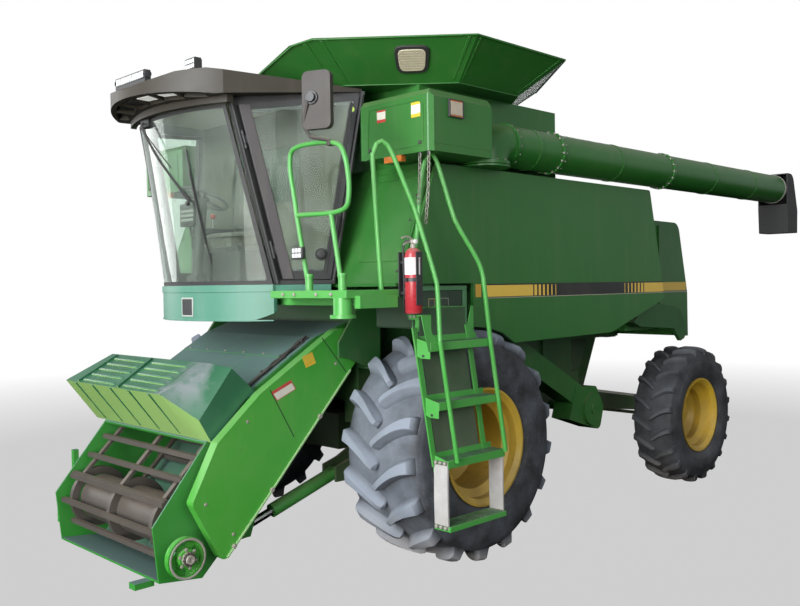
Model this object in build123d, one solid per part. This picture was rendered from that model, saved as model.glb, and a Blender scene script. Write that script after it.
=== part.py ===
from build123d import *
import math
import os

# Combine harvester: separator body on two drive wheels in front and two steered wheels behind,
# with a glass cab over the feeder house and a swinging unloading tube on the left.
# Millimetres. +Z up, forward is -Y, +X is the machine's left side.
# Shapes are drawn with Y = 0 at the front axle and Z = 0 on the ground, then moved to the part frame.

# Driving dimensions
WHEELBASE = 3516
FRONT_REACH = 2290          # front axle to the foremost point of the feeder house
REAR_REACH = 5650           # front axle to the end of the folded unloading tube
OVERALL_HALF_WIDTH = 1970   # the spread wings of the grain tank and the ladder rails
TANK_TOP = 3795             # top of the grain tank wings above the ground
DECK_TOP = 2050             # cab platform
FRAME_SHIFT = (FRONT_REACH - REAR_REACH) / 2
CLEAR = 0.3                 # seat gap between curved faces of different pieces
GAP = 6                     # running gap between moving pieces

# Wheels
FRONT_R = 872
FRONT_X = 1345
REAR_R = 702
REAR_X = 1425
FRONT_RIM = 440
FRONT_RIM_HALF = 350
REAR_RIM = 376
REAR_RIM_HALF = 200
WHEEL_DISC = 16
FRONT_STUB_R = 95
REAR_STUB_R = 60
FRONT_DISC_IN = FRONT_X - 116   # inner face of the drive wheel's disc
REAR_DISC_IN = REAR_X - 76

# Chassis and steering
FRAME_LOW = 1000
FRAME_HIGH = 1180
CAB_BASE = 2060
REAR_RAIL_LOW = 1480
REAR_RAIL_HIGH = 1600
AXLE_TOP = 860              # steered axle's beam
KINGPIN_X = 1130
KINGPIN_R = 24
KNUCKLE_LOW = 610
KNUCKLE_HIGH = 790
ARM_X = KINGPIN_X           # tie rod's pins, straight behind the kingpins
ARM_Y = WHEELBASE + 274
ARM_Z = 650
TIE_PIN_R = 14

# Body
SHEET = 6
BODY_HALF = 760             # separator walls
TANK_HALF = 1430
SHIELD_X = TANK_HALF + 170    # outer face of the side shields
SHIELD_T = 30
SHIELD_TOP = 2950
HOOD_HALF = 1300
BODY_TOP = 2560
SHOE_HALF = 740
TANK_FRONT = -400
TANK_REAR = 1280
TANK_MOUTH_REAR = 1040      # the hopper ends here, in front of the tank's rear wall
TANK_RIM = 3540
WING_T = 8
# grain tank wings, corner by corner: foot (x, y), lip (x, y), inward direction of the sheet's thickness
WINGS = [
    ((1640, -200), (1970, -373), (-1, 0.4)),
    ((1640, 495), (1970, 668), (-1, -0.4)),
    ((1024, 1055), (1125, 1436), (-0.4, -1)),
    ((-1024, 1055), (-1125, 1436), (0.4, -1)),
    ((-1640, 495), (-1970, 668), (1, -0.4)),
    ((-1640, -200), (-1970, -373), (1, 0.4)),
    ((-1024, -760), (-1125, -1141), (0.4, 1)),
    ((1024, -760), (1125, -1141), (-0.4, 1)),
]
SIDE_BOX_IN = 1215
SIDE_BOX_LOW = 2970
SIDE_BOX_TOP = 3385

# Cab: plan half widths and stations at floor and at roof
CAB_FLOOR = 2120
GLASS_LOW = 2100
FLOOR_TOP = GLASS_LOW - 1
GLASS_HIGH = 3390
GLASS_T = 8
NOSE_LOW = -1510
NOSE_HIGH = -1650
POST_LOW = (765, -1175)
POST_HIGH = (647, -1460)
REAR_LOW = (950, -850)
REAR_HIGH = (1100, -670)
ROOF_LOW_FRONT = 3412
ROOF_LOW_REAR = 3512
CAB_REAR_TOP = 3490
DOOR_T = 36
HINGE_V = (230, 1010)         # heights of the door's hinges up the raked edge
HINGE_PIN_R = 6
FRONT_ARC_LOW_Y = -450      # centre and radius of the cab's front line at floor and at roof
FRONT_ARC_LOW_R = 1060
FRONT_ARC_HIGH_Y = -140
FRONT_ARC_HIGH_R = 1510
SKIRT_LOW = 1835
# lamps on the roof: x, y, z, width, depth, height
TOP_LAMPS = [
    (-80, -1850, 3585, 440, 46, 62),
    (470, -1680, 3625, 130, 50, 62),
]

# Feeder house
FEEDER_HALF = 740
PIVOT_Y = -700
PIVOT_Z = 1600
PIVOT_R = 30
PIVOT_END = 916             # half length of the fixed shaft that carries the feeder
SHIELD_R = 165              # rounded upper end of the drive shield
LOWER_SHAFT_Y = -2000
LOWER_SHAFT_Z = 345
LIFT_X = 600
LIFT_REAR = (-560, 620)     # lift cylinder's pin on the axle bracket (Y, Z)
LIFT_FRONT = (-1445, 345)   # rod's eye under the feeder house (Y, Z)
LIFT_PIN_R = 20
PULLEY_R = 135

# Unloading tube
TUBE_X = TANK_HALF + 190
TUBE_R = 160
TURRET_Y = 110
TUBE_Z0 = 3140
TURRET_R = 185
ELBOW = 165                 # bend of the tube's elbow over the turret
TUBE_LOW = 2966

# Platform and ladder
LADDER_OUT = 1950
LADDER_IN = LADDER_OUT - 150
RAIL_R = 16


def outline(points):
    """Flat outline with straight sides; a third number on a corner is its rounding radius."""
    face = make_face(Polyline(*[p[:2] for p in points], close=True))
    for p in points:
        if len(p) == 3:
            corner = face.vertices().sort_by_distance((p[0], p[1], 0))[0]
            face = fillet(corner, p[2])
    return face


def across(points, x0, x1):
    """Prism along X of an outline in (y, z)."""
    plane = Plane(origin=(x0, 0, 0), x_dir=(0, 1, 0), z_dir=(1, 0, 0))
    return extrude(plane * outline(points), x1 - x0)


def along(points, y0, y1):
    """Prism along Y of an outline in (x, z)."""
    plane = Plane(origin=(0, y1, 0), x_dir=(1, 0, 0), z_dir=(0, -1, 0))
    return extrude(plane * outline(points), y1 - y0)


def upright(points, z0, z1):
    """Prism along Z of an outline in (x, y)."""
    return extrude(Plane(origin=(0, 0, z0)) * outline(points), z1 - z0)


def block(x0, x1, y0, y1, z0, z1):
    """Box between two corners."""
    return Pos((x0 + x1) / 2, (y0 + y1) / 2, (z0 + z1) / 2) * Box(x1 - x0, y1 - y0, z1 - z0)


def bar(p, q, radius):
    """Round bar from p to q."""
    run = Vector(*q) - Vector(*p)
    return extrude(Plane(origin=p, z_dir=run) * Circle(radius), run.length)


def beam(p, q, width, height):
    """Rectangular bar from p to q, its width level."""
    run = Vector(*q) - Vector(*p)
    side = Vector(-run.Y, run.X, 0) if abs(run.X) + abs(run.Y) > 1 else Vector(1, 0, 0)
    return extrude(Plane(origin=p, x_dir=side, z_dir=run) * Rectangle(width, height), run.length)


def pipe(points, bend, radius):
    """Round pipe along straight runs joined by bends."""
    path = FilletPolyline(*points, radius=bend)
    return sweep(Plane(origin=path @ 0, z_dir=path % 0) * Circle(radius), path)


def ring(profile, x_axis_point):
    """Body of revolution about an axle along X; the profile is in (x, r)."""
    plane = Plane(origin=x_axis_point, x_dir=(1, 0, 0), z_dir=(0, -1, 0))
    return revolve(plane * profile, Axis(x_axis_point, (1, 0, 0)), 360)


def both(shape):
    """A piece and its mirror image on the other side."""
    return [shape, mirror(shape, about=Plane.YZ)]


def rise(y, low, high):
    """Height on a straight line through two (y, z) points."""
    return low[1] + (y - low[0]) * (high[1] - low[1]) / (high[0] - low[0])


def write(name, shape):
    """Moves a finished piece to the part frame and writes it."""
    if isinstance(shape, (list, tuple)):
        shape = Part() + list(shape)
    export_step(Pos(0, FRAME_SHIFT, 0) * shape, f"parts/{name}.step")


os.makedirs("parts", exist_ok=True)


# Tyres: tread bars are cut from one ring between the carcass and the tip envelope.
# columns: name, centre Y, radius, section half width, tread half width, rim radius, rim half, bars, bar depth, bar width
TYRES = [
    ("front", 0, FRONT_R, 388, 335, FRONT_RIM, FRONT_RIM_HALF, 17, 82, 62),
    ("rear", WHEELBASE, REAR_R, 234, 205, REAR_RIM, REAR_RIM_HALF, 20, 40, 34),
]


def carcass(radius, half, tread, rim, rim_half, depth):
    """Cross-section of the tyre without its bars; its beads sit on the rim's cones and flanges."""
    crown = radius - depth
    belly = (crown + rim) / 2
    right = [
        (rim_half - 100, rim - 20),
        (rim_half - 92, rim - 40),
        (rim_half - 36, rim - 36),
        (rim_half - 16, rim),
        (rim_half - 12, rim + 16),
        (half, belly),
        (half - 22, crown - 70),
        (tread - 18, crown - 26),
        (0, crown),
    ]
    left = [(-x, r) for x, r in reversed(right[:-1])]
    return make_face(Polyline(*right, *left, close=True))


def tread_bar(radius, tread, depth, width, turn):
    """One bar: a bent footprint raised out of the carcass and trimmed to the tip envelope."""
    inner = radius - depth - 40
    lean = 0.62 * tread * turn
    mid = 0.45 * tread
    spine = [(-0.06 * tread, 0.0), (mid, 0.62 * lean), (1.03 * tread, lean)]
    front = [(x, s + width / 2) for x, s in spine]
    back = [(x, s - width / 2) for x, s in reversed(spine)]
    foot = extrude(Plane(origin=(0, 0, inner)) * make_face(Polyline(*front, *back, close=True)), depth + 60)
    tip = make_face(Polyline((-tread, inner - 60), (-tread, radius - 30), (-0.62 * tread, radius - 4),
                             (0, radius), (0.62 * tread, radius - 4), (tread, radius - 30),
                             (tread + 14, radius - depth - 46), (tread + 14, inner - 60), close=True))
    return foot & ring(tip, (0, 0, 0))


def tyre(radius, half, tread, rim, rim_half, count, depth, width):
    body = ring(carcass(radius, half, tread, rim, rim_half, depth), (0, 0, 0))
    right = tread_bar(radius, tread, depth, width, 1)
    left = mirror(right, about=Plane.YZ)
    pitch = 360 / count
    bars = [Rot(k * pitch, 0, 0) * right for k in range(count)]
    bars += [Rot((k + 0.5) * pitch, 0, 0) * left for k in range(count)]
    return body.fuse(*bars)


def rim(flange, half, hub_r, dish):
    """Wheel rim with two flanges, a drop centre and a dished disc; the outer side is +X."""
    seat = flange - 36
    well = flange - 96
    t = WHEEL_DISC
    section = [
        (half, flange), (half, flange - t), (half - 30, seat - t), (half - 90, seat - t - 4),
        (half - 130, well - t), (dish + t, well - t), (dish - 40, 0.55 * flange), (dish - 40, hub_r),
        (dish - 40 - t, hub_r), (dish - 40 - t, 0.55 * flange + 4), (dish - 8, well - t),
        (-half + 130, well - t), (-half + 90, seat - t - 4), (-half + 30, seat - t), (-half, flange - t),
        (-half, flange), (-half + 16, flange), (-half + 36, seat), (-half + 92, seat - 4), (-half + 128, well),
        (half - 128, well), (half - 92, seat - 4), (half - 36, seat), (half - 16, flange),
    ]
    return ring(make_face(Polyline(*section, close=True)), (0, 0, 0))


for name, y, radius, half, tread, flange, rim_half, count, depth, width in TYRES:
    x = FRONT_X if name == "front" else REAR_X
    shape = tyre(radius, half, tread, flange, rim_half, count, depth, width)
    hub = (FRONT_STUB_R if name == "front" else REAR_STUB_R) + CLEAR
    dish = -60 if name == "front" else -20
    wheel = rim(flange, rim_half, hub, dish)
    boss = bar((dish - 40 - WHEEL_DISC, 0, 0), (dish + 20, 0, 0), hub + 48)
    wheel += boss - bar((-400, 0, 0), (400, 0, 0), hub)
    for side, sign in (("left", 1), ("right", -1)):
        turned = shape if sign > 0 else mirror(shape, about=Plane.YZ)
        disc = wheel if sign > 0 else mirror(wheel, about=Plane.YZ)
        write(f"{name}_tyre_{side}", Pos(sign * x, y, radius) * turned)
        write(f"{name}_rim_{side}", Pos(sign * x, y, radius) * disc)


# Front axle: cross tube, final drives and the stub shafts that the drive wheels turn on.
AXLE_TUBE_R = 118
DRIVE_R = 225
drive = bar((0, 0, FRONT_R), (980, 0, FRONT_R), AXLE_TUBE_R)
drive += bar((960, 0, FRONT_R), (FRONT_DISC_IN - 70, 0, FRONT_R), DRIVE_R)
drive += bar((FRONT_DISC_IN - 71, 0, FRONT_R), (FRONT_DISC_IN - GAP, 0, FRONT_R), 130)
drive += bar((FRONT_DISC_IN - GAP - 1, 0, FRONT_R), (FRONT_DISC_IN + 96, 0, FRONT_R), FRONT_STUB_R)
axle = drive + mirror(drive, about=Plane.YZ)
axle += block(-230, 230, -190, 230, 700, 1000)      # gearbox in the middle
for sign in (-1, 1):
    axle += block(sign * 660 - 70, sign * 660 + 70, -110, 110, 760, FRAME_LOW)
    bracket = across([(-90, 760), (-90, 900), (-470, 720), (-610, 680), (-610, 560), (-500, 560)], 0, 24)
    for x in (LIFT_X - 86, LIFT_X + 62):
        axle += Pos(sign * (x + 12) - 12, 0, 0) * bracket
    axle += bar((sign * (LIFT_X - 80), *LIFT_REAR), (sign * (LIFT_X + 80), *LIFT_REAR), LIFT_PIN_R)
write("front_axle", axle)

# Main frame: side rails over the axle, arms under the cab, and the pedestal of the steered axle.
frame = Part()
for sign in (-1, 1):
    frame += block(sign * 660 - 70, sign * 660 + 70, -430, 2640, FRAME_LOW, FRAME_HIGH)
    frame += block(sign * 450 - 50, sign * 450 + 50, -1150, -430, 1960, CAB_BASE)
    frame += block(sign * 540 - 45, sign * 540 + 45, 2562, 3640, REAR_RAIL_LOW, REAR_RAIL_HIGH)
    frame += block(sign * 540 - 45, sign * 540 + 45, 2562, 2640, FRAME_LOW, REAR_RAIL_HIGH)
    frame += block(sign * 600 - 60, sign * 600 + 60, 2562, 2640, FRAME_LOW, FRAME_HIGH)
frame += block(-560, 560, 2564, 2620, REAR_RAIL_LOW, REAR_RAIL_HIGH)
frame += block(-580, 580, WHEELBASE - 90, WHEELBASE + 90, REAR_RAIL_LOW - 10, REAR_RAIL_HIGH - 10)
frame += along([(-330, REAR_RAIL_LOW), (-150, AXLE_TOP + 24), (150, AXLE_TOP + 24), (330, REAR_RAIL_LOW)],
               WHEELBASE - 86, WHEELBASE + 86)
frame += block(-480, 480, -1130, -1050, 1980, CAB_BASE)
frame += bar((-PIVOT_END, PIVOT_Y, PIVOT_Z), (PIVOT_END, PIVOT_Y, PIVOT_Z), PIVOT_R)
ear = across([(PIVOT_Y - 60, PIVOT_Z - 40), (PIVOT_Y + 60, PIVOT_Z - 70), (-430, PIVOT_Z - 160), (-430, 2000),
              (-500, 2000), (PIVOT_Y - 60, PIVOT_Z + 60)], PIVOT_END - 24, PIVOT_END)
ear += block(BODY_HALF, PIVOT_END, -430, -340, 1440, 2000)
frame += ear + mirror(ear, about=Plane.YZ)
write("main_frame", frame)

# Steered rear axle: a box beam on a central pivot, with a fork at each end for the kingpin.
AXLE_LOW = AXLE_TOP - 200
beam_half = KINGPIN_X - 60
tail = along([(-beam_half, AXLE_LOW + 50), (-300, AXLE_LOW), (300, AXLE_LOW), (beam_half, AXLE_LOW + 50),
              (beam_half, AXLE_TOP - 20), (300, AXLE_TOP), (-300, AXLE_TOP), (-beam_half, AXLE_TOP - 20)],
             WHEELBASE - 85, WHEELBASE + 85)
for sign in (-1, 1):
    for z in (KNUCKLE_LOW - GAP - 46, KNUCKLE_HIGH + GAP):
        tail += block(min(sign * (beam_half - 60), sign * (KINGPIN_X + 62)),
                      max(sign * (beam_half - 60), sign * (KINGPIN_X + 62)),
                      WHEELBASE - 62, WHEELBASE + 62, z, z + 46)
    tail += block(min(sign * (beam_half - 110), sign * (beam_half - 30)),
                  max(sign * (beam_half - 110), sign * (beam_half - 30)),
                  WHEELBASE - 44, WHEELBASE + 44, KNUCKLE_LOW - GAP - 46, KNUCKLE_HIGH + GAP + 46)
    tail += bar((sign * KINGPIN_X, WHEELBASE, KNUCKLE_LOW - GAP - 45),
                (sign * KINGPIN_X, WHEELBASE, KNUCKLE_HIGH + GAP + 45), KINGPIN_R)
tail += bar((0, WHEELBASE - 130, AXLE_TOP - 60), (0, WHEELBASE + 130, AXLE_TOP - 60), 45)
tail += along([(-110, AXLE_TOP - 2), (-80, AXLE_TOP + 24), (80, AXLE_TOP + 24), (110, AXLE_TOP - 2)],
              WHEELBASE - 85, WHEELBASE + 85)
write("rear_axle", tail)

# Knuckle: sleeve on the kingpin, spindle for the wheel, and the steering arm that takes the tie rod.
knuckle = bar((KINGPIN_X, WHEELBASE, KNUCKLE_LOW), (KINGPIN_X, WHEELBASE, KNUCKLE_HIGH), 54)
knuckle += bar((KINGPIN_X, WHEELBASE, REAR_R), (REAR_DISC_IN - GAP, WHEELBASE, REAR_R), 50)
knuckle += bar((REAR_DISC_IN - GAP - 30, WHEELBASE, REAR_R), (REAR_DISC_IN - GAP, WHEELBASE, REAR_R), 92)
knuckle += bar((REAR_DISC_IN - GAP - 1, WHEELBASE, REAR_R), (REAR_DISC_IN + 70, WHEELBASE, REAR_R), REAR_STUB_R)
knuckle += upright([(KINGPIN_X - 34, WHEELBASE), (KINGPIN_X + 34, WHEELBASE), (ARM_X + 40, ARM_Y + 40, 30),
                    (ARM_X - 40, ARM_Y + 40, 30)], ARM_Z, ARM_Z + 30)
knuckle += bar((ARM_X, ARM_Y, ARM_Z - 60), (ARM_X, ARM_Y, ARM_Z + 2), TIE_PIN_R)
knuckle -= bar((KINGPIN_X, WHEELBASE, KNUCKLE_LOW - 5), (KINGPIN_X, WHEELBASE, KNUCKLE_HIGH + 5), KINGPIN_R + CLEAR)
write("knuckle_left", knuckle)
write("knuckle_right", mirror(knuckle, about=Plane.YZ))

# Tie rod between the two steering arms, with an eye at each end.
tie = bar((-ARM_X + 30, ARM_Y, ARM_Z - 40), (ARM_X - 30, ARM_Y, ARM_Z - 40), 19)
for sign in (-1, 1):
    tie += bar((sign * ARM_X, ARM_Y, ARM_Z - 58), (sign * ARM_X, ARM_Y, ARM_Z - 22), 34)
for sign, slack in ((-1, 1.5), (1, CLEAR)):
    tie -= bar((sign * ARM_X, ARM_Y, ARM_Z - 70), (sign * ARM_X, ARM_Y, ARM_Z), TIE_PIN_R + slack)
write("tie_rod", tie)

# Separator body: the narrow sheet-metal trunk that everything hangs on.
body = across([(-430, 1180), (-430, CAB_BASE), (-400, 2180), (-400, BODY_TOP), (2560, BODY_TOP), (2560, 1560),
               (290, 1560), (290, FRAME_HIGH)], -BODY_HALF, BODY_HALF)
for y in (420, 900, 1380, 1860, 2340):
    for sign in (-1, 1):
        body += block(sign * (BODY_HALF + 15) - 16, sign * (BODY_HALF + 15) + 16, y - 20, y + 20, 1570, BODY_TOP - 20)
write("separator_body", body)

# Cleaning shoe under the trunk, with the fan's drum in its nose.
shoe = across([(300, 1560), (300, 1010), (700, 800), (1500, 760, 60), (2150, 880), (2495, 1010), (2495, 1560)],
              -SHOE_HALF, SHOE_HALF)
shoe += bar((-SHOE_HALF - 40, 560, 1090), (SHOE_HALF + 40, 560, 1090), 250)
for sign in (-1, 1):
    shoe -= bar((sign * (SHOE_HALF + 41), 560, 1090), (sign * (SHOE_HALF - 30), 560, 1090), 150)
    for y in (1000, 1500, 2000):
        shoe += block(sign * (SHOE_HALF + 12) - 14, sign * (SHOE_HALF + 12) + 14, y - 18, y + 18, 1010, 1550)
for sign in (-1, 1):
    shoe -= block(sign * 660 - 70, sign * 660 + 70, 200, 2600, FRAME_LOW, FRAME_HIGH)
write("cleaning_shoe", shoe)

# Side shields: one large sheet on each side with a folded rim, cut away over the drive wheel.
SHIELD = [(-405, SHIELD_TOP, 30), (2570, SHIELD_TOP, 30), (2840, 1915, 20), (1880, 1632), (470, 1618),
          (330, 1700), (160, 1748), (-20, 1765), (-20, 2090), (-770, 2090, 20)]
panel = across(SHIELD, SHIELD_X - SHIELD_T, SHIELD_X)
hollow = [(-360, SHIELD_TOP - 40), (2535, SHIELD_TOP - 40), (2785, 1945), (1870, 1676), (490, 1662), (345, 1740),
          (170, 1790), (24, 1806), (24, 2134), (-700, 2134)]
panel -= across(hollow, SHIELD_X - SHIELD_T - 1, SHIELD_X - 6)
write("side_shields", both(panel))

# Brackets that carry the shields off the trunk.
brackets = []
for y in (0, 700, 1400, 2100):
    brackets += both(block(BODY_HALF, SHIELD_X - 6, y + 60, y + 100, 2380, 2430))
write("shield_brackets", brackets)

# Front bulkhead: the raked sheet between trunk and shields, with its shelf at deck height.
rake = [(-800, 2075), (-800, 2098), (-772, 2098), (-440, 2955), (-420, 2955), (-748, 2110), (-432, 2110),
        (-432, 2075)]
bulkhead = across(rake, 0, SHIELD_X - SHIELD_T)
bulkhead = bulkhead + mirror(bulkhead, about=Plane.YZ)
bulkhead -= block(-BODY_HALF - 1, BODY_HALF + 1, -433, -300, 2000, 3000)
write("front_bulkhead", bulkhead)

# Rear hood: the straw hood, open below, rounded over at the back.
HOOD = [(2350, 2560), (2350, 2720), (3690, 2700, 120), (3880, 1960, 60), (3890, 1490), (3640, 1490),
        (3640, 1600), (2600, 1600), (2600, 1960), (2562, 1960), (2562, 2560)]
hood = across(HOOD, -HOOD_HALF, HOOD_HALF)
inside = [(2640, 1400), (2640, 2600), (3640, 2640, 110), (3830, 1955, 50), (3840, 1400)]
hood -= across(inside, -HOOD_HALF + SHEET, HOOD_HALF - SHEET)
for sign in (-1, 1):
    for y in (2850, 3250):
        hood += block(sign * (HOOD_HALF + 8) - 9, sign * (HOOD_HALF + 8) + 9, y, y + 36, 1620, 2660)
write("rear_hood", hood)

# Straw chopper across the hood's mouth, with the curved tailboard that spreads the straw.
CHOP = [(2560, 1690), (2830, 1880), (3440, 1815, 60), (3440, 1590, 30), (2700, 1640)]
chopper = across(CHOP, HOOD_HALF + 20, HOOD_HALF + 120)
chopper += across([(3300, 1800), (3560, 1790, 60), (3690, 1620, 80), (3665, 1480, 40), (3575, 1455), (3440, 1580)],
                  HOOD_HALF + 40, HOOD_HALF + 80)
chopper += block(HOOD_HALF + 17, HOOD_HALF + 21, 2860, 3380, 1640, 1800)
tray = block(-HOOD_HALF + SHEET, HOOD_HALF - SHEET, 2700, 3400, REAR_RAIL_HIGH, REAR_RAIL_HIGH + 12)
rotor = bar((-HOOD_HALF + SHEET, 3060, 1780), (HOOD_HALF - SHEET, 3060, 1780), 90)
write("straw_chopper", both(chopper) + [tray, rotor])

# Engine behind the tank: one plain block on its deck, with the low exhaust.
engine = block(-520, 620, 1500, 2320, BODY_TOP, 3060)
engine += block(-360, 420, 1600, 2200, 3060, 3180)
engine += bar((430, 1560, 3050), (430, 1560, 3360), 55)
engine += block(-1290, 1290, 1300, 2348, BODY_TOP, BODY_TOP + 40) 
write("engine", engine)

# Rotary air screen on the right: a box with a perforated drum face.
screen = block(-1290, -820, 1480, 2345, BODY_TOP + 40, 3120)
screen -= bar((-1291, 1940, 2850), (-1230, 1940, 2850), 232)
screen += bar((-1310, 1940, 2850), (-1228, 1940, 2850), 60)
for k in range(12):
    screen += Pos(-1260, 1940, 2850) * (Rot(k * 30, 0, 0) * bar((0, 0, 55), (0, 0, 236), 5))
write("rotary_screen", screen)

# Grain tank: square hopper with a funnel floor and a rim shelf that carries the wings.
tank = along([(-TANK_HALF, SHIELD_TOP - 60), (-TANK_HALF, TANK_RIM), (TANK_HALF, TANK_RIM), (TANK_HALF, SHIELD_TOP - 60),
              (BODY_HALF, BODY_TOP), (-BODY_HALF, BODY_TOP)], TANK_FRONT, TANK_REAR)
funnel = along([(-TANK_HALF + SHEET, TANK_RIM + 20), (-TANK_HALF + SHEET, 3180), (-240, 2660), (240, 2660),
                (TANK_HALF - SHEET, 3180), (TANK_HALF - SHEET, TANK_RIM + 20)], TANK_FRONT + SHEET, TANK_MOUTH_REAR)
tank -= funnel
ledge = upright([foot for foot, lip, inward in WINGS], TANK_RIM, TANK_RIM + SHEET)
tank += ledge - block(-TANK_HALF + SHEET, TANK_HALF - SHEET, TANK_FRONT + SHEET, TANK_MOUTH_REAR, 3500, 3600)
tank += bar((0, TANK_FRONT + 2, 2760), (0, TANK_MOUTH_REAR + 2, 2760), 60)
write("grain_tank", tank)

# Wings: eight flared sheets closed into one raised collar.
def collar(inset, over):
    """Closed flared solid of the wings, moved inwards by the inset and longer by the overrun."""
    feet = [(x + inset * i, y + inset * j, TANK_RIM + SHEET - over) for (x, y), lip, (i, j) in WINGS]
    lips = [(x + inset * i, y + inset * j, TANK_TOP + over) for foot, (x, y), (i, j) in WINGS]
    return loft([make_face(Polyline(*feet, close=True)), make_face(Polyline(*lips, close=True))], ruled=True)


wings = collar(0, 0) - collar(WING_T, 1)
wings -= along([(-900, TANK_TOP + 5), (-240, TANK_TOP - 92), (240, TANK_TOP - 92), (900, TANK_TOP + 5)], -1300, -900)
write("tank_wings", wings)

# Rounded side boxes that close the tank's front corners above the shields.
box_plan = [(SIDE_BOX_IN, -780), (1870, -780, 24), (1900, -750, 12), (1900, -150), (TANK_HALF, -150),
            (TANK_HALF, TANK_FRONT), (SIDE_BOX_IN, TANK_FRONT)]
side_box = upright(box_plan, SIDE_BOX_LOW, SIDE_BOX_TOP)
side_box -= along([(1855, SIDE_BOX_TOP + 5), (1905, SIDE_BOX_TOP - 60), (1905, SIDE_BOX_TOP + 5)], -800, -100)
side_box -= across([(-790, SIDE_BOX_TOP - 50), (-745, SIDE_BOX_TOP + 5), (-790, SIDE_BOX_TOP + 5)], 1100, 1950)
write("tank_side_boxes", both(side_box))


# Cab sides: everything on them is drawn in one raked plane through the door's four corners,
# as u (level, to the rear), v (up) and depth behind the door's outer face.
SIDE_U = (Vector(*REAR_LOW, 0) - Vector(*POST_LOW, 0)).normalized()
side_lean = Vector(*POST_HIGH, GLASS_HIGH) - Vector(*POST_LOW, CAB_FLOOR)
SIDE_PLANE = Plane(origin=(*POST_LOW, CAB_FLOOR), x_dir=SIDE_U, z_dir=SIDE_U.cross(side_lean))
FRONT_TOP = SIDE_PLANE.to_local_coords(Vector(*POST_HIGH, GLASS_HIGH))
REAR_FOOT = SIDE_PLANE.to_local_coords(Vector(*REAR_LOW, CAB_FLOOR))
REAR_TOP = SIDE_PLANE.to_local_coords(Vector(*REAR_HIGH, CAB_REAR_TOP))
FRONT_LEAN = FRONT_TOP.X / FRONT_TOP.Y
REAR_LEAN = (REAR_TOP.X - REAR_FOOT.X) / (REAR_TOP.Y - REAR_FOOT.Y)


def quad(front, rear, low, high_front, high_rear):
    """Four-sided outline that follows the raked front and rear edges of the doorway at given offsets."""
    return [(FRONT_LEAN * low + front, low), (REAR_FOOT.X + REAR_LEAN * low + rear, low),
            (REAR_FOOT.X + REAR_LEAN * high_rear + rear, high_rear), (FRONT_LEAN * high_front + front, high_front)]


def sheet(points, z0, z1):
    """Plate parallel to the doorway between two depths."""
    return extrude(SIDE_PLANE.offset(z0) * outline(points), z1 - z0)


def on_side(u, v, z):
    """Point of the machine frame from doorway coordinates."""
    return tuple(SIDE_PLANE.from_local_coords(Vector(u, v, z)))


# Cab door: frame with a rabbet for the glass, two hinge eyes on the raked front edge and a handle.
DOOR_LOW = 15
DOOR_HIGH_FRONT = 1258
DOOR_HIGH_REAR = 1352
door = sheet(quad(20, -8, DOOR_LOW, DOOR_HIGH_FRONT, DOOR_HIGH_REAR), -DOOR_T, 0)
door -= sheet(quad(80, -64, DOOR_LOW + 75, DOOR_HIGH_FRONT - 62, DOOR_HIGH_REAR - 62), -DOOR_T - 1, 1)
door -= sheet(quad(59, -43, DOOR_LOW + 44, DOOR_HIGH_FRONT - 39, DOOR_HIGH_REAR - 39), -9, 1)
for v in HINGE_V:
    u0, u1 = (v - 28) * FRONT_LEAN, (v + 28) * FRONT_LEAN
    door += sheet([(u0, v - 28), (u0 + 40, v - 28), (u1 + 40, v + 28), (u1, v + 28)], -9, 3)
    door += bar(on_side(u0, v - 28, 0), on_side(u1, v + 28, 0), 12)
    u0, u1 = (v - 50) * FRONT_LEAN, (v + 50) * FRONT_LEAN
    door -= bar(on_side(u0, v - 50, 0), on_side(u1, v + 50, 0), HINGE_PIN_R + CLEAR)
low, high = REAR_FOOT.X + 330 * REAR_LEAN, REAR_FOOT.X + 470 * REAR_LEAN
door += sheet([(low - 38, 330), (low - 14, 330), (high - 14, 470), (high - 38, 470)], -12, 26)
write("cab_door", door)
write("door_glass", sheet(quad(60, -44, DOOR_LOW + 45, DOOR_HIGH_FRONT - 40, DOOR_HIGH_REAR - 40), -8, -1))

ABOVE_ROOF_LINE = across([(-1970, 3440), (-1650, 3414), (-640, 3506), (-500, 3519), (-500, 3800), (-1970, 3800)],
                         -1300, 1300)

# Cab frame: both doorways, the fixed right-hand panel and the hinge pins between their ears.
SIDE_OUT = quad(-46, 28, -20, 1340, 1420)
side = sheet(SIDE_OUT, -86, -44) - sheet(quad(36, -42, 42, 1222, 1316), -90, -40)
side += sheet(SIDE_OUT, -45, -4) - sheet(quad(-14, 0, 8, 1400, 1500), -60, 0)
hinged = side
for v in HINGE_V:
    for low, high in ((v - 62, v - 34), (v + 34, v + 62)):
        u0, u1 = low * FRONT_LEAN, high * FRONT_LEAN
        hinged += bar(on_side(u0, low, 0), on_side(u1, high, 0), 12)
        hinged += sheet([(u0 - 30, low), (u0, low), (u1, high), (u1 - 30, high)], -9, 6)
    u0, u1 = (v - 50) * FRONT_LEAN, (v + 50) * FRONT_LEAN
    hinged += bar(on_side(u0, v - 50, 0), on_side(u1, v + 50, 0), HINGE_PIN_R)
hinged -= ABOVE_ROOF_LINE
fixed = side - ABOVE_ROOF_LINE + sheet(quad(-16, 2, 6, 1262, 1356), -45, -4)
fixed -= sheet(quad(80, -64, 90, 1196, 1290), -60, 1)
fixed -= sheet(quad(59, -43, 59, 1219, 1313), -13, 1)
write("cab_frame", [hinged, mirror(fixed, about=Plane.YZ)])


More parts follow.
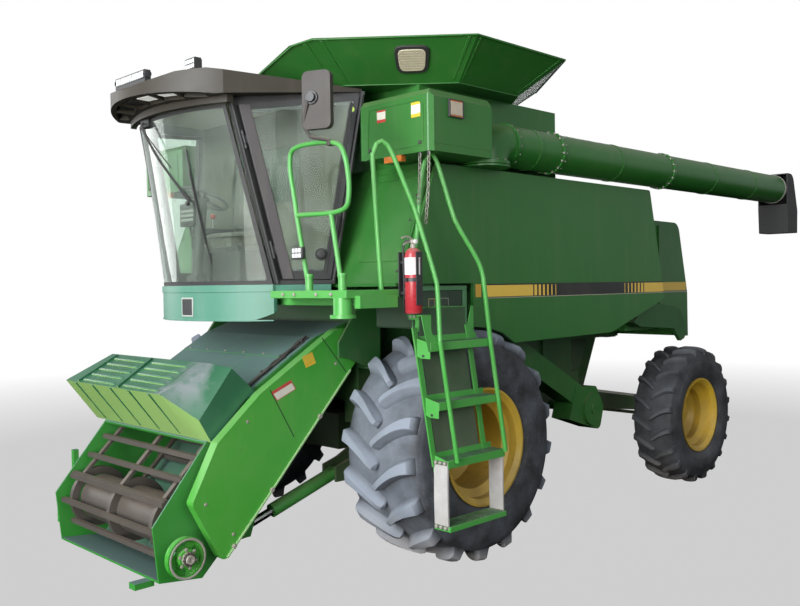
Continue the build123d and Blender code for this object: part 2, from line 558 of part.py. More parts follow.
def strip(centre_y, radius, half, z, thick):
    """Curved strip in plan, symmetrical about the machine's middle, with its nose forward."""
    outer_end = centre_y - math.sqrt(radius ** 2 - half ** 2)
    inner_end = centre_y - math.sqrt((radius - thick) ** 2 - half ** 2)
    outer = ThreePointArc((-half, outer_end, z), (0, centre_y - radius, z), (half, outer_end, z))
    inner = ThreePointArc((half, inner_end, z), (0, centre_y - radius + thick, z), (-half, inner_end, z))
    return make_face([outer, Line(outer @ 1, inner @ 0), inner, Line(inner @ 1, outer @ 0)])


# Windshield: one curved pane from floor to roof, wider at the foot.
pane = loft([strip(FRONT_ARC_LOW_Y, FRONT_ARC_LOW_R, 732, GLASS_LOW - 1, GLASS_T),
             strip(FRONT_ARC_HIGH_Y + 10, FRONT_ARC_HIGH_R + 14, 608, GLASS_HIGH + 40, GLASS_T)], ruled=True)
write("windshield", pane - ABOVE_ROOF_LINE)

# Cab floor: the slab on the two arms, curved in front.
arc_r = FRONT_ARC_LOW_R - 12
end_y = FRONT_ARC_LOW_Y - math.sqrt(arc_r ** 2 - 720 ** 2)
nose = ThreePointArc((-720, end_y), (0, FRONT_ARC_LOW_Y - arc_r), (720, end_y))
back = Polyline((720, end_y), (748, -1168), (918, -864), (-918, -864), (-748, -1168), (-720, end_y))
write("cab_floor", extrude(Plane(origin=(0, 0, CAB_BASE)) * make_face([nose, *back.edges()]), FLOOR_TOP - CAB_BASE))

# Cab skirt: the curved band below the pane, and the short aprons under the doorways.
skirt = extrude(strip(FRONT_ARC_LOW_Y, FRONT_ARC_LOW_R + 12, 745, SKIRT_LOW, 20), GLASS_LOW - 1 - SKIRT_LOW)
skirt -= across([(-1000, SKIRT_LOW - 1), (-1330, SKIRT_LOW - 1), (-1200, SKIRT_LOW + 70), (-1000, SKIRT_LOW + 70)],
                -900, 900)
apron = sheet([(-30, -108), (REAR_FOOT.X - 4, -108), (REAR_FOOT.X - 4, -23), (-36, -23)], -14, -2)
write("cab_skirt", [skirt] + both(apron))

# Cab rear wall: a raked sheet with its window, and the right-hand and rear panes.
wall = across([(-864, 2080), (-834, 2080), (-647, 3520), (-677, 3520)], -1000, 1000) - ABOVE_ROOF_LINE
wall &= along([(-838, 2060), (838, 2060), (993, 3520), (-993, 3520)], -900, -600)
wall -= block(-450, 450, -900, -600, 2750, 3200)
write("cab_rear_wall", wall)
rear_pane = across([(-852, 2080), (-846, 2080), (-659, 3520), (-665, 3520)], -450, 450)
rear_pane &= block(-450, 450, -900, -600, 2750, 3200)
right_pane = mirror(sheet(quad(60, -44, 60, 1218, 1312), -12, -5), about=Plane.YZ)
write("cab_panes", [rear_pane, right_pane])

# Cab roof: a crowned cap with a slim curved brim, a header in front of the pane, and lamp pockets between them.
BRIM = -1950                  # foremost point of the brim
BRIM_END = (740, -1615)       # its corner above the door's front post
BRIM_R = (BRIM_END[0] ** 2 + (BRIM_END[1] - BRIM) ** 2) / 2 / (BRIM_END[1] - BRIM)
cap = across([(BRIM, 3452), (-1650, 3414), (-640, 3506), (-640, 3530), (-780, 3530), (-960, 3592),
              (-1600, 3602), (-1830, 3578), (BRIM, 3526, 22)], -1200, 1200)
cap &= along([(-1150, 3300), (-1150, 3518), (-740, 3578), (-480, 3620), (480, 3620), (740, 3578), (1150, 3518),
              (1150, 3300)], -2000, -600)
brim = ThreePointArc((-BRIM_END[0], BRIM_END[1]), (0, BRIM), BRIM_END)
edge = Polyline(BRIM_END, (1078, -640), (-1078, -640), (-BRIM_END[0], BRIM_END[1]))
cap &= extrude(Plane(origin=(0, 0, 3300)) * make_face([brim, *edge.edges()]), 400)
cap += extrude(strip(FRONT_ARC_HIGH_Y, FRONT_ARC_HIGH_R + 62, 690, 3372, 46), 78)
lamps = []
for angle, foot in ((-35, 865), (-21, 815), (-7, 790), (7, 790), (21, 815), (35, 865)):
    turn = Pos(0, BRIM + BRIM_R, 0) * Rot(0, 0, angle)
    cap -= turn * block(-94, 94, 40 - BRIM_R, -foot, 3380, 3498)
    lamps.append(turn * block(-80, 80, 58 - BRIM_R, -foot - 18, 3452, 3498))
write("cab_roof", cap)
for x, y, z, width, deep, high in TOP_LAMPS:
    lamps.append(block(x - width / 2, x + width / 2, y - deep / 2, y + deep / 2, z - 30, z + high) - cap)
write("roof_lamps", lamps)

# Operator's seat: base and padded parts.
base = block(-190, 190, -1130, -870, FLOOR_TOP, 2360) + block(-240, 240, -1180, -850, 2360, 2400)
base += across([(-873.9, 2380), (-862, 2380), (-829.5, 2700), (-841.4, 2700)], -60, 60)
write("seat_base", base)
cushion = block(-235, 235, -1240, -880, 2400.3, 2500)
backrest = across([(-938, 2520), (-860, 2520), (-805, 3060, 20), (-875, 3070, 20)], -225, 225)
write("seat_pad", [cushion, backrest])

# Steering column with its wheel, and the control console right of the seat.
column = bar((0, -1400, GLASS_LOW + 20), (0, -1330, 2760), 38)
column += block(-70, 70, -1440, -1350, FLOOR_TOP, 2180)
hub = Plane(origin=(0, -1326, 2748), x_dir=(1, 0, 0), z_dir=(0, 0.42, 1))
column += extrude(hub * Circle(45), 30)
column += hub.offset(20) * Torus(185, 13)
for angle in (90, 210, 330):
    spoke = hub.offset(12) * (Rot(0, 0, angle) * (Pos(95, 0, 6) * Box(190, 24, 10)))
    column += spoke
write("steering_column", column)
console = block(-420, -260, -1180, -880, 2402, 2560) + block(-400, -280, -1100, -900, FLOOR_TOP, 2402)
console += bar((-340, -1120, 2555), (-335, -1150, 2680), 14) + block(-362, -308, -1180, -1125, 2670, 2740)
console += block(-470, -262, -1250, -1190, 2580, 2760) + bar((-400, -1185, 2500), (-400, -1205, 2600), 12)
write("cab_console", console)

# Platform beside the door: deck plate on a bracket, the pivot post at its front corner, and the ladder's carrier.
deck = upright([(960, -1400), (1740, -1400, 30), (1740, -815), (990, -815), (805, -1143)], DECK_TOP - 40, DECK_TOP)
deck += block(505, 1700, -1118, -1062, DECK_TOP - 100, DECK_TOP - 40)
deck += block(1000, 1060, -1062, -850, DECK_TOP - 100, DECK_TOP - 40)
deck += bar((1660, -1360, DECK_TOP - 170), (1660, -1360, DECK_TOP - 40), 62)
deck += bar((1660, -1360, DECK_TOP - 172), (1660, -1360, DECK_TOP - 150), 84)
deck += block(1742 - 4, 1790, -1330, -1000, DECK_TOP - 110, DECK_TOP - 30)
carrier = block(1560, LADDER_IN - 6, -428, -340, 1850, 1930) + block(1700, LADDER_IN - 6, -812, -340, 1850, 1930)
carrier += block(LADDER_IN - 40, LADDER_IN - 6, -812, -340, 1770, 1850)
carrier += block(1700, 1740, -830, -770, 1930, DECK_TOP - 39)
write("platform", deck + carrier)

# Guard rail in front of the platform: a closed loop on two legs, with sockets at its feet.
RAIL_Y = -1380
LOOP_TOP = ((1145, RAIL_Y, 3010), (1712, RAIL_Y, 2988))
LEGS = (1340, 1672)
rail = pipe([(LEGS[0], RAIL_Y + 8, DECK_TOP + 8), (1229, RAIL_Y, 2559), *LOOP_TOP, (1770, RAIL_Y, 2556),
             (1242, RAIL_Y, 2556)], 62, RAIL_R)
rail += bar((1580, RAIL_Y, 2556), (LEGS[1], RAIL_Y + 8, DECK_TOP + 8), RAIL_R)
for x in LEGS:
    rail += bar((x, RAIL_Y + 8, DECK_TOP), (x, RAIL_Y + 8, DECK_TOP + 90), RAIL_R + 10)

# Mirror: a flat head on a bent arm, clamped to the top of the guard rail.
head = block(1410, 1610, RAIL_Y - 60, RAIL_Y - 12, 3085, 3455)
head = fillet(head.edges().filter_by(Axis.Y), 40)
head = Pos(1510, RAIL_Y - 36, 0) * Rot(0, 0, 24) * Pos(-1510, 36 - RAIL_Y, 0) * head
head += bar((1480, RAIL_Y - 95, 3285), (1480, RAIL_Y - 40, 3285), 30)
head += pipe([(1480, RAIL_Y - 88, 3285), (1425, RAIL_Y - 88, 3120), (1462, RAIL_Y - 60, 3040), (1585, RAIL_Y - 8, 3010)],
             24, 11)
head += block(1567, 1603, RAIL_Y - 19, RAIL_Y + 19, 2976, 3012)
write("mirrors", head - bar(*LOOP_TOP, RAIL_R))

# Ladder: boarding steps in three full treads and one on flaps, with its side plates.
ladder = []
TREADS = [(1700, -845, -315), (1300, -770, -240), (900, -690, -160)]   # height, front, rear
lattice = Part()
for z, y0, y1 in TREADS:
    lattice += block(LADDER_IN, LADDER_OUT - 24, y0, y1, z - 30, z)
    lattice += block(LADDER_IN - 6, LADDER_IN + 2, y0, y1, z - 30, z + 70)
for y_top, y_low in ((-845, -690), (-315, -160)):
    lattice += beam((LADDER_IN + 6, y_top - 20, 1790), (LADDER_IN + 6, y_low + 2, 862), 12, 70)
    lattice += beam((LADDER_OUT - 30, y_top - 4, 1730), (LADDER_OUT - 30, y_low + 2, 862), 12, 60)
lattice += block(LADDER_IN, LADDER_OUT - 24, -850, -310, 1780, 1796)
for y, z in ((-632, 960), (-118, 960)):
    lattice += block(LADDER_OUT - 26, LADDER_OUT - RAIL_R - 0.5, y - 40, y + 20, z - 20, z + 20)
for y0 in (-690, -168):
    lattice += block(LADDER_IN + 12, LADDER_OUT - 26, y0, y0 + 8, 452, 880)
lattice += block(LADDER_IN + 10, LADDER_OUT - 6, -690, -160, 430, 458)
write("ladder", lattice)
# Handrails of the ladder.
front_rail = pipe([(1700, -1060, DECK_TOP + 2), (1700, -1120, 2950), (1722, -1050, 3050), (1765, -990, 2970),
                   (1830, -870, 2580), (1930, -772, 2090), (LADDER_OUT, -770, 1690), (LADDER_OUT, -615, 885)],
                  28, RAIL_R)
rear_rail = pipe([(1725, -836, DECK_TOP + 8), (1735, -760, 2390), (1740, -690, 2890), (1762, -600, 2975),
                  (1850, -500, 2520), (1940, -325, 2195), (LADDER_OUT, -310, 2040), (LADDER_OUT, -250, 1660),
                  (LADDER_OUT, -100, 890)], 26, RAIL_R)
write("handrails", [rail, front_rail, rear_rail])

# Fire extinguisher with its bracket on the deck's edge.
bottle = bar((1790 + 52, -905, 1900), (1790 + 52, -905, 2320), 55)
bottle += bar((1842, -905, 2315), (1842, -905, 2400), 20) + block(1826, 1858, -960, -880, 2380, 2402)
bottle += block(1740, 1748, -945, -865, 2012, 2300)
for z in (2030, 2230):
    bottle += block(1746, 1794, -925, -885, z, z + 20)
write("extinguisher", bottle)

# Service box under the left front corner of the shield.
battery = block(1200, 1560, -640, -60, 1775, 2075)
battery = fillet(battery.edges().filter_by(Axis.X), 18)
write("service_box", battery)

# Marker lamps: under the side boxes, on a wing and on the left side box.
marks = []
for sign in (-1, 1):
    marks.append(block(sign * 1535 - 85, sign * 1535 + 85, -780, -740, 2928, SIDE_BOX_LOW))
marks.append(block(1900, 1914, -610, -470, 3213, 3325))
write("marker_lamps", marks)

# Clean grain elevator on the left: housing, boot with its drive, and a foot bracket.
lift = beam((1160, 1860, 1035), (1160, 860, 1565), 190, 200)
lift += across([(1810, 1120), (2140, 1100, 40), (2270, 900, 60), (2200, 675, 60), (1700, 830)], 1060, 1262)
lift += bar((BODY_HALF + 32, 2060, 890), (1300, 2060, 890), 44)
lift += bar((1262, 2060, 890), (1290, 2060, 890), 150)
lift += block(SHOE_HALF, 1066, 1100, 1180, 1440, 1520)
write("grain_elevator", lift)

# Unloading tube: fixed turret foot with its pivot pin, swinging tube with an elbow, and the spout.
foot = bar((TUBE_X, TURRET_Y, SHIELD_TOP + 2), (TUBE_X, TURRET_Y, TUBE_LOW), TURRET_R)
foot += block(TANK_HALF, TUBE_X, TURRET_Y - 150, TURRET_Y + 150, SHIELD_TOP + 2, TUBE_LOW)
foot += block(TANK_HALF, SHIELD_X - SHIELD_T - 6, TURRET_Y - 150, TURRET_Y + 150, SHIELD_TOP - 58, TUBE_LOW)
foot += bar((TUBE_X, TURRET_Y, TUBE_LOW - 2), (TUBE_X, TURRET_Y, TUBE_LOW + 120), 60)
write("auger_turret", foot)
tube = pipe([(TUBE_X, TURRET_Y, TUBE_LOW + GAP), (TUBE_X, TURRET_Y, TUBE_Z0), (TUBE_X, 5360, TUBE_Z0)], ELBOW, TUBE_R)
tube += bar((TUBE_X, TURRET_Y, TUBE_LOW + GAP), (TUBE_X, TURRET_Y, TUBE_LOW + GAP + 24), TURRET_R)
for y in (TURRET_Y + ELBOW + 30, 900, 2700):
    tube += bar((TUBE_X, y, TUBE_Z0), (TUBE_X, y + 30, TUBE_Z0), TUBE_R + 12)
tube -= bar((TUBE_X, TURRET_Y, TUBE_LOW), (TUBE_X, TURRET_Y, TUBE_LOW + 126), 60 + CLEAR)
tube -= bar((TUBE_X, 5000, TUBE_Z0), (TUBE_X, 5361, TUBE_Z0), TUBE_R - 6)
write("auger_tube", tube)
spout_out = across([(5360, TUBE_Z0 + 176), (5520, TUBE_Z0 + 176, 110), (5650, 2900, 60), (5640, 2630),
                    (5380, 2630), (5360, 2900)], TUBE_X - 172, TUBE_X + 172)
spout_in = across([(5340, TUBE_Z0 + 166), (5516, TUBE_Z0 + 166, 104), (5638, 2898, 54), (5628, 2600),
                   (5392, 2600), (5374, 2890), (5374, 2960), (5340, 2960)], TUBE_X - 160, TUBE_X + 160)
write("auger_spout", spout_out - spout_in)

# Feeder house: a hollow sloping duct with an open mouth, lifted about a shaft under the cab.
duct_side = [(-550, 1800), (-850, 1700), (-1500, 1310), (-1800, 1040), (-2210, 540), (-2170, 170), (-1850, 130),
             (-500, 1420)]
duct = across(duct_side, -FEEDER_HALF, FEEDER_HALF)
hollow = [(-880, 1668), (-1492, 1291), (-1792, 1020), (-1840, 1100), (-2320, 1100), (-2320, 186), (-2160, 186),
          (-1846, 150), (-880, 1074)]
duct -= across(hollow, -FEEDER_HALF + 14, FEEDER_HALF - 14)
duct += bar((-FEEDER_HALF - 10, PIVOT_Y, PIVOT_Z), (FEEDER_HALF + 10, PIVOT_Y, PIVOT_Z), 70)
duct += bar((FEEDER_HALF - 2, LOWER_SHAFT_Y - 50, LOWER_SHAFT_Z - 5),
            (FEEDER_HALF + 170, LOWER_SHAFT_Y - 50, LOWER_SHAFT_Z - 5), 24)
for sign in (-1, 1):
    for x in (LIFT_X - 62, LIFT_X + 38):
        lug = across([(-1330, 640), (-1580, 400), (-1500, 300), (-1400, 300), (-1260, 700)], 0, 24)
        duct += Pos(sign * (x + 12) - 12, 0, 0) * lug
    duct += bar((sign * (LIFT_X - 60), *LIFT_FRONT), (sign * (LIFT_X + 60), *LIFT_FRONT), LIFT_PIN_R)
for y, z in ((-2180, 300), (-2060, 640)):
    duct += block(-FEEDER_HALF - 40, -FEEDER_HALF + 1, y, y + 40, z, z + 200)
duct += block(560, 640, -2288, -2150, 130, 170)
# The pins turn inside the main frame's ears, so their ends stay short of them.
write("feeder_house", duct - bar((-900, PIVOT_Y, PIVOT_Z), (900, PIVOT_Y, PIVOT_Z), PIVOT_R + CLEAR))

# Feeder hood: the pale box across the top of the duct, bevelled at its left end.
HOOD_FACE = [(-1400, 1388), (-1660, 1555), (-2050, 1375), (-1800, 1050), (-1500, 1322)]
HOOD_END = [(-1412, 1342), (-1612, 1528), (-1876, 1200), (-1784, 1040), (-1500, 1306)]
long_part = across(HOOD_FACE, -870, 580)
near = make_face(Polyline(*[(580, y, z) for y, z in HOOD_FACE], close=True))
far = make_face(Polyline(*[(778, y, z) for y, z in HOOD_END], close=True))
cover = long_part + loft([near, far], ruled=True)
cover -= across(duct_side, -FEEDER_HALF - 1, FEEDER_HALF + 1)
for x in (-700, -420, -140, 140, 420):
    cover += beam((x, -2046, 1371), (x, -1812, 1076), 26, 26)
write("feeder_hood", cover)

# Drive shield on the feeder's left, its upper end rounded about the lift shaft.
guard = across([(-820, 1720), (-1450, 1345), (-1800, 1050), (-2000, 675, 40), (-1770, 240, 40), (-1410, 610),
                (-590, 1478)], 800, 880)
guard += bar((800, PIVOT_Y, PIVOT_Z), (880, PIVOT_Y, PIVOT_Z), SHIELD_R)
guard += block(FEEDER_HALF + 1, 801, -1320, -1240, 900, 1100)
guard += block(FEEDER_HALF + 1, 801, -1010, -950, 1300, 1420)
guard -= bar((700, PIVOT_Y, PIVOT_Z), (900, PIVOT_Y, PIVOT_Z), PIVOT_R + CLEAR)
write("feeder_shield", guard)

# Slatted chain inside the duct, around a drum at the mouth.
DRUM = Vector(0, -1925, 487)
DRUM_R = 170
CHAIN_R = 215
drum = bar(tuple(DRUM - Vector(560, 0, 0)), tuple(DRUM + Vector(560, 0, 0)), DRUM_R)
drum += bar(tuple(DRUM - Vector(FEEDER_HALF - 14, 0, 0)), tuple(DRUM + Vector(FEEDER_HALF - 14, 0, 0)), 30)
chains = [drum]
run = Vector(0, 930, 919).normalized()
beside = Vector(0, -run.Z, run.Y) * CHAIN_R
for x in (-600, 0, 600):
    start = DRUM + Vector(x, 0, 0)
    for way in (-1, 1):
        chains.append(beam(tuple(start + beside * way), tuple(start + beside * way + run * 780), 40, 24))
    loop = bar(tuple(start - Vector(20, 0, 0)), tuple(start + Vector(20, 0, 0)), CHAIN_R + 12)
    chains.append(loop - bar(tuple(start - Vector(21, 0, 0)), tuple(start + Vector(21, 0, 0)), DRUM_R + 1))
slats = []
for k in range(5):
    for way in (-1, 1):
        centre = DRUM + run * (k * 180 + 20) + beside * way * (1 + 28 / CHAIN_R)
        slats.append(beam(tuple(centre - Vector(690, 0, 0)), tuple(centre + Vector(690, 0, 0)), 34, 34))
for angle in (105, 150, 195):
    centre = DRUM + Vector(0, 0, CHAIN_R + 28).rotate(Axis.X, angle - 60)
    slats.append(beam(tuple(centre - Vector(690, 0, 0)), tuple(centre + Vector(690, 0, 0)), 34, 34))
chain = Part() + [*chains, *slats]
write("feeder_chain", chain)

# Drive pulley at the feeder's lower shaft, with its hub and sprocket.
px, py, pz = FEEDER_HALF + 100, LOWER_SHAFT_Y - 50, LOWER_SHAFT_Z - 5
pulley = bar((px, py, pz), (px + 44, py, pz), PULLEY_R) - bar((px + 12, py, pz), (px + 45, py, pz), PULLEY_R - 22)
pulley += bar((px, py, pz), (px + 60, py, pz), 62)
pulley -= bar((px - 1, py, pz), (px + 80, py, pz), 24 + CLEAR)
groove = make_face(Polyline((14, PULLEY_R + 2), (24, PULLEY_R - 14), (32, PULLEY_R - 14), (42, PULLEY_R + 2), close=True))
pulley -= ring(groove, (px, py, pz))
for angle in range(0, 360, 60):
    hole = bar((px - 1, py, pz + 88), (px + 13, py, pz + 88), 20)
    pulley -= Pos(0, py, pz) * (Rot(angle, 0, 0) * (Pos(0, -py, -pz) * hole))
write("feeder_pulley", pulley)

# Lift cylinders under the feeder: barrel on the axle's pin, rod with an eye on the feeder's pin.
reach = Vector(0, LIFT_FRONT[0] - LIFT_REAR[0], LIFT_FRONT[1] - LIFT_REAR[1])
way = reach.normalized()
for side, sign in (("left", 1), ("right", -1)):
    rear = Vector(sign * LIFT_X, *LIFT_REAR)
    front = Vector(sign * LIFT_X, *LIFT_FRONT)
    barrel = bar(tuple(rear + way * 40), tuple(rear + way * 640), 52)
    barrel += bar((rear.X - 54, rear.Y, rear.Z), (rear.X + 54, rear.Y, rear.Z), 46)
    barrel -= bar((rear.X - 60, rear.Y, rear.Z), (rear.X + 60, rear.Y, rear.Z), LIFT_PIN_R + CLEAR)
    barrel -= bar(tuple(rear + way * 90), tuple(rear + way * 641), 30 + CLEAR)
    write(f"lift_barrel_{side}", barrel)
    rod = bar(tuple(rear + way * 130), tuple(front - way * 40), 30)
    rod += bar((front.X - 26, front.Y, front.Z), (front.X + 26, front.Y, front.Z), 60)
    rod -= bar((front.X - 40, front.Y, front.Z), (front.X + 40, front.Y, front.Z), LIFT_PIN_R + 18)
    write(f"lift_rod_{side}", rod)
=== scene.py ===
import math

import bpy
import numpy as np
from mathutils import Matrix, Vector


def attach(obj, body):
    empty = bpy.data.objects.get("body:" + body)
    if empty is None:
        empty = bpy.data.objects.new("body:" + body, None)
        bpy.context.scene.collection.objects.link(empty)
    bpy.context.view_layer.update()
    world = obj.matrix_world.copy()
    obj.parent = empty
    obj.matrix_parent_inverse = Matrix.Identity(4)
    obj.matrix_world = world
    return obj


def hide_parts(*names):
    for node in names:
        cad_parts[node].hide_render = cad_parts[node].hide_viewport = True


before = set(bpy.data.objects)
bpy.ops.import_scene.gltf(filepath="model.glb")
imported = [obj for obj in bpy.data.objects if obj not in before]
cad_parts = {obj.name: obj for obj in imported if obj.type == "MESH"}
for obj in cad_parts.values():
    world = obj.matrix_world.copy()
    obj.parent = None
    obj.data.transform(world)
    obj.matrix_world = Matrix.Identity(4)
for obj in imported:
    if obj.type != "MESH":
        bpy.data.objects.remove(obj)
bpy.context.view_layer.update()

# Standpoint: eye height off the machine's front left corner, level, with a normal lens.
# The three turns are yaw from straight astern, dip below the horizon and the small lean of the picture.
yaw, dip, lean = (math.radians(a) for a in (45.37, 1.22, -0.803))
ahead = Vector((-math.sin(yaw) * math.cos(dip), math.cos(yaw) * math.cos(dip), -math.sin(dip)))
level = Vector((math.cos(yaw), math.sin(yaw), 0))
above = level.cross(ahead)
right = level * math.cos(lean) + above * math.sin(lean)
above = above * math.cos(lean) - level * math.sin(lean)
camera = bpy.data.objects.new("camera", bpy.data.cameras.new("camera"))
SENSOR_MM, FOCAL_PIXELS, PICTURE_PIXELS = 36, 873.7, 800
EYE = (5.851, -6.669, 2.088)
camera.data.lens = SENSOR_MM * FOCAL_PIXELS / PICTURE_PIXELS
camera.data.clip_end = 200
camera.matrix_world = Matrix.Translation(EYE) @ Matrix((right, above, -ahead)).transposed().to_4x4()
bpy.context.scene.collection.objects.link(camera)
bpy.context.scene.camera = camera
bpy.context.scene.view_settings.view_transform = "Standard"


# Room: a pale floor that fades to white, a white world behind it, and five large soft lamps. One hangs high
# and one low in front, one at each side and one high behind, so the object stays readable from every side.
class Reading:
    """A number that changes over a surface. It wraps a socket, and each operator adds its Math node."""

    def __init__(self, paint, socket):
        self.paint, self.socket = paint, socket

    def __add__(self, other):
        return self.paint.sum("ADD", self, other)

    def __sub__(self, other):
        return self.paint.sum("SUBTRACT", self, other)

    def __rsub__(self, other):
        return self.paint.sum("SUBTRACT", other, self)

    def __mul__(self, other):
        return self.paint.sum("MULTIPLY", self, other)

    def __truediv__(self, other):
        return self.paint.sum("DIVIDE", self, other)

    def __pow__(self, other):
        return self.paint.sum("POWER", self, other)

    def __gt__(self, other):
        return self.paint.sum("GREATER_THAN", self, other)

    def __lt__(self, other):
        return self.paint.sum("LESS_THAN", self, other)

    def __abs__(self):
        return self.paint.sum("ABSOLUTE", self)

    __radd__, __rmul__ = __add__, __mul__


class Paint:
    """The nodes of one material or world."""

    def __init__(self, name, owner=None):
        self.owner = owner or bpy.data.materials.new(name)
        self.owner.use_nodes = True
        self.tree = self.owner.node_tree
        self.tree.nodes.clear()
        self.places = None

    def node(self, kind, settings=(), inputs=(), out=0):
        """Adds a node: its type, its settings, then its sockets' values or links. Gives output `out`."""
        made = self.tree.nodes.new(kind)
        for key, value in dict(settings).items():
            setattr(made, key, value)
        for key, value in dict(inputs).items():
            if isinstance(value, Reading):
                self.tree.links.new(value.socket, made.inputs[key])
            elif isinstance(value, (tuple, list)) and made.inputs[key].type == "RGBA":
                made.inputs[key].default_value = (*value[:3], 1)
            else:
                made.inputs[key].default_value = value
        return Reading(self, made.outputs[out]) if len(made.outputs) else made

    def sum(self, operation, *values):
        return self.node("ShaderNodeMath", {"operation": operation}, enumerate(values))

    def clamp(self, value):
        return self.node("ShaderNodeClamp", (), {0: value})

    def mix(self, share, first, second):
        """Colour that goes from the first to the second as the share goes from 0 to 1."""
        return self.node("ShaderNodeMix", {"data_type": "RGBA"}, {0: share, 6: first, 7: second}, out=2)

    def at(self, axis):
        """X, Y or Z of the point in the object's own coordinates."""
        if self.places is None:
            self.places = self.node("ShaderNodeTexCoord", out=3)
            self.split = self.tree.nodes.new("ShaderNodeSeparateXYZ")
            self.tree.links.new(self.places.socket, self.split.inputs[0])
        return Reading(self, self.split.outputs[axis])

    def upward(self):
        """Z of the surface's own direction: 1 on a level top, 0 on an upright wall."""
        facing = self.node("ShaderNodeTexCoord", out=1)
        return self.node("ShaderNodeSeparateXYZ", (), {0: facing}, out=2)

    def noise(self, scale, detail=2, stretch=None, rough=0.55):
        """Cloudy pattern, about 1 / scale metres across, drawn out where stretch is below 1."""
        self.at(0)
        spot = self.places
        if stretch:
            spot = self.node("ShaderNodeMapping", (), {0: spot, 3: stretch})
        return self.node("ShaderNodeTexNoise", (), {"Vector": spot, "Scale": scale, "Detail": detail,
                                                     "Roughness": rough})

    def relief(self, height, depth, strength=1.0):
        return self.node("ShaderNodeBump", (), {"Height": height, "Distance": depth, "Strength": strength})

    def finish(self, inputs):
        shader = self.node("ShaderNodeBsdfPrincipled", (), inputs)
        self.node("ShaderNodeOutputMaterial", (), {0: shader})
        return self.owner


def soft_lamp(name, place, aim, size, watts, tint=(1, 1, 1)):
    lamp = bpy.data.objects.new(name, bpy.data.lights.new(name, "AREA"))
    lamp.data.color = tint
    lamp.data.shape, lamp.data.size, lamp.data.energy = "DISK", size, watts
    lamp.location = place
    lamp.rotation_mode = "QUATERNION"
    lamp.rotation_quaternion = (Vector(aim) - Vector(place)).to_track_quat("-Z", "Y")
    bpy.context.scene.collection.objects.link(lamp)


soft_lamp("lamp_front", (2.5, -14, 6.5), (0, -1, 1.8), 8, 2150, (0.92, 0.96, 1.0))
soft_lamp("lamp_low", (4.5, -11, 0.9), (0, -2, 1.8), 5, 800, (1.0, 0.98, 0.93))
soft_lamp("lamp_left", (12, -5, 5), (0, 0.0, 1.2), 6, 330)
soft_lamp("lamp_rear", (-8, 11, 8), (0, 1, 1.5), 7, 700)
soft_lamp("lamp_right", (-11, -6, 4), (0, -1, 1.2), 6, 420)

sky = Paint("sky", bpy.data.worlds.new("sky"))
seen = sky.tree.nodes.new("ShaderNodeLightPath")
seen = [Reading(sky, seen.outputs[k]) for k in ("Is Camera Ray", "Is Glossy Ray", "Is Transmission Ray")]
glow = sky.node("ShaderNodeBackground", (), {0: (0.90, 0.95, 1.0), 1: 0.36})
white = sky.node("ShaderNodeBackground", (), {0: (1, 1, 1), 1: 1.0})
shown = sky.clamp(seen[0] + seen[1] * 0.22 + seen[2])
both = sky.node("ShaderNodeMixShader", (), {0: shown, 1: glow, 2: white})
sky.node("ShaderNodeOutputWorld", (), {0: both})
bpy.context.scene.world = sky.owner


def mesh_of(name, points, faces, material=None):
    """Mesh from an array of points and a list of face arrays, each of faces with the same corner count."""
    mesh = bpy.data.meshes.new(name)
    mesh.from_pydata(np.asarray(points, float).tolist(), [], [f for group in faces for f in group.tolist()])
    made = bpy.data.objects.new(name, mesh)
    bpy.context.scene.collection.objects.link(made)
    if material:
        mesh.materials.append(material)
    return made


def skin(grid, round_cols=True, round_rows=False, caps=True):
    """One face for each cell of a grid of points. A closed direction joins its last line to its first,
    and caps close the first and last rows with one face each."""
    rows, cols = grid.shape[:2]
    i = np.arange(rows if round_rows else rows - 1)[:, None]
    j = np.arange(cols if round_cols else cols - 1)[None, :]
    i2, j2 = (i + 1) % rows, (j + 1) % cols
    faces = [np.stack([i * cols + j, i * cols + j2, i2 * cols + j2, i2 * cols + j], -1).reshape(-1, 4)]
    if caps and round_cols and not round_rows:
        faces += [np.arange(cols)[None, ::-1], ((rows - 1) * cols + np.arange(cols))[None]]
    return grid.reshape(-1, 3), faces


FLOOR_RADIUS, WHITE_FROM, WHITE_OVER = 30, 6.5, 9     # the floor turns white between 6.5 and 15.5 m out
circles, turns = np.linspace(0.02, FLOOR_RADIUS, 40), np.linspace(0, 2 * math.pi, 65)[:-1]
rings, steps = np.meshgrid(circles, turns, indexing="ij")
disc = np.stack([rings * np.cos(steps), rings * np.sin(steps), 0 * rings - 0.002], -1)
floor_paint = Paint("floor")
away = (floor_paint.at(0) * floor_paint.at(0) + floor_paint.at(1) * floor_paint.at(1)) ** 0.5
fade = floor_paint.clamp((away - WHITE_FROM) / WHITE_OVER)
cement = floor_paint.node("ShaderNodeBsdfPrincipled", (),
                          {"Base Color": (0.86, 0.86, 0.85), "Roughness": 0.85})
lit = floor_paint.node("ShaderNodeEmission", (), {0: (1, 1, 1), 1: 1.0})
path = floor_paint.tree.nodes.new("ShaderNodeLightPath")
share = Reading(floor_paint, path.outputs["Is Camera Ray"]) * (fade * 0.38 + 0.62)
both = floor_paint.node("ShaderNodeMixShader", (), {0: share, 1: cement, 2: lit})
floor_paint.node("ShaderNodeOutputMaterial", (), {0: both})
floor = mesh_of("floor", *skin(disc), floor_paint.owner)


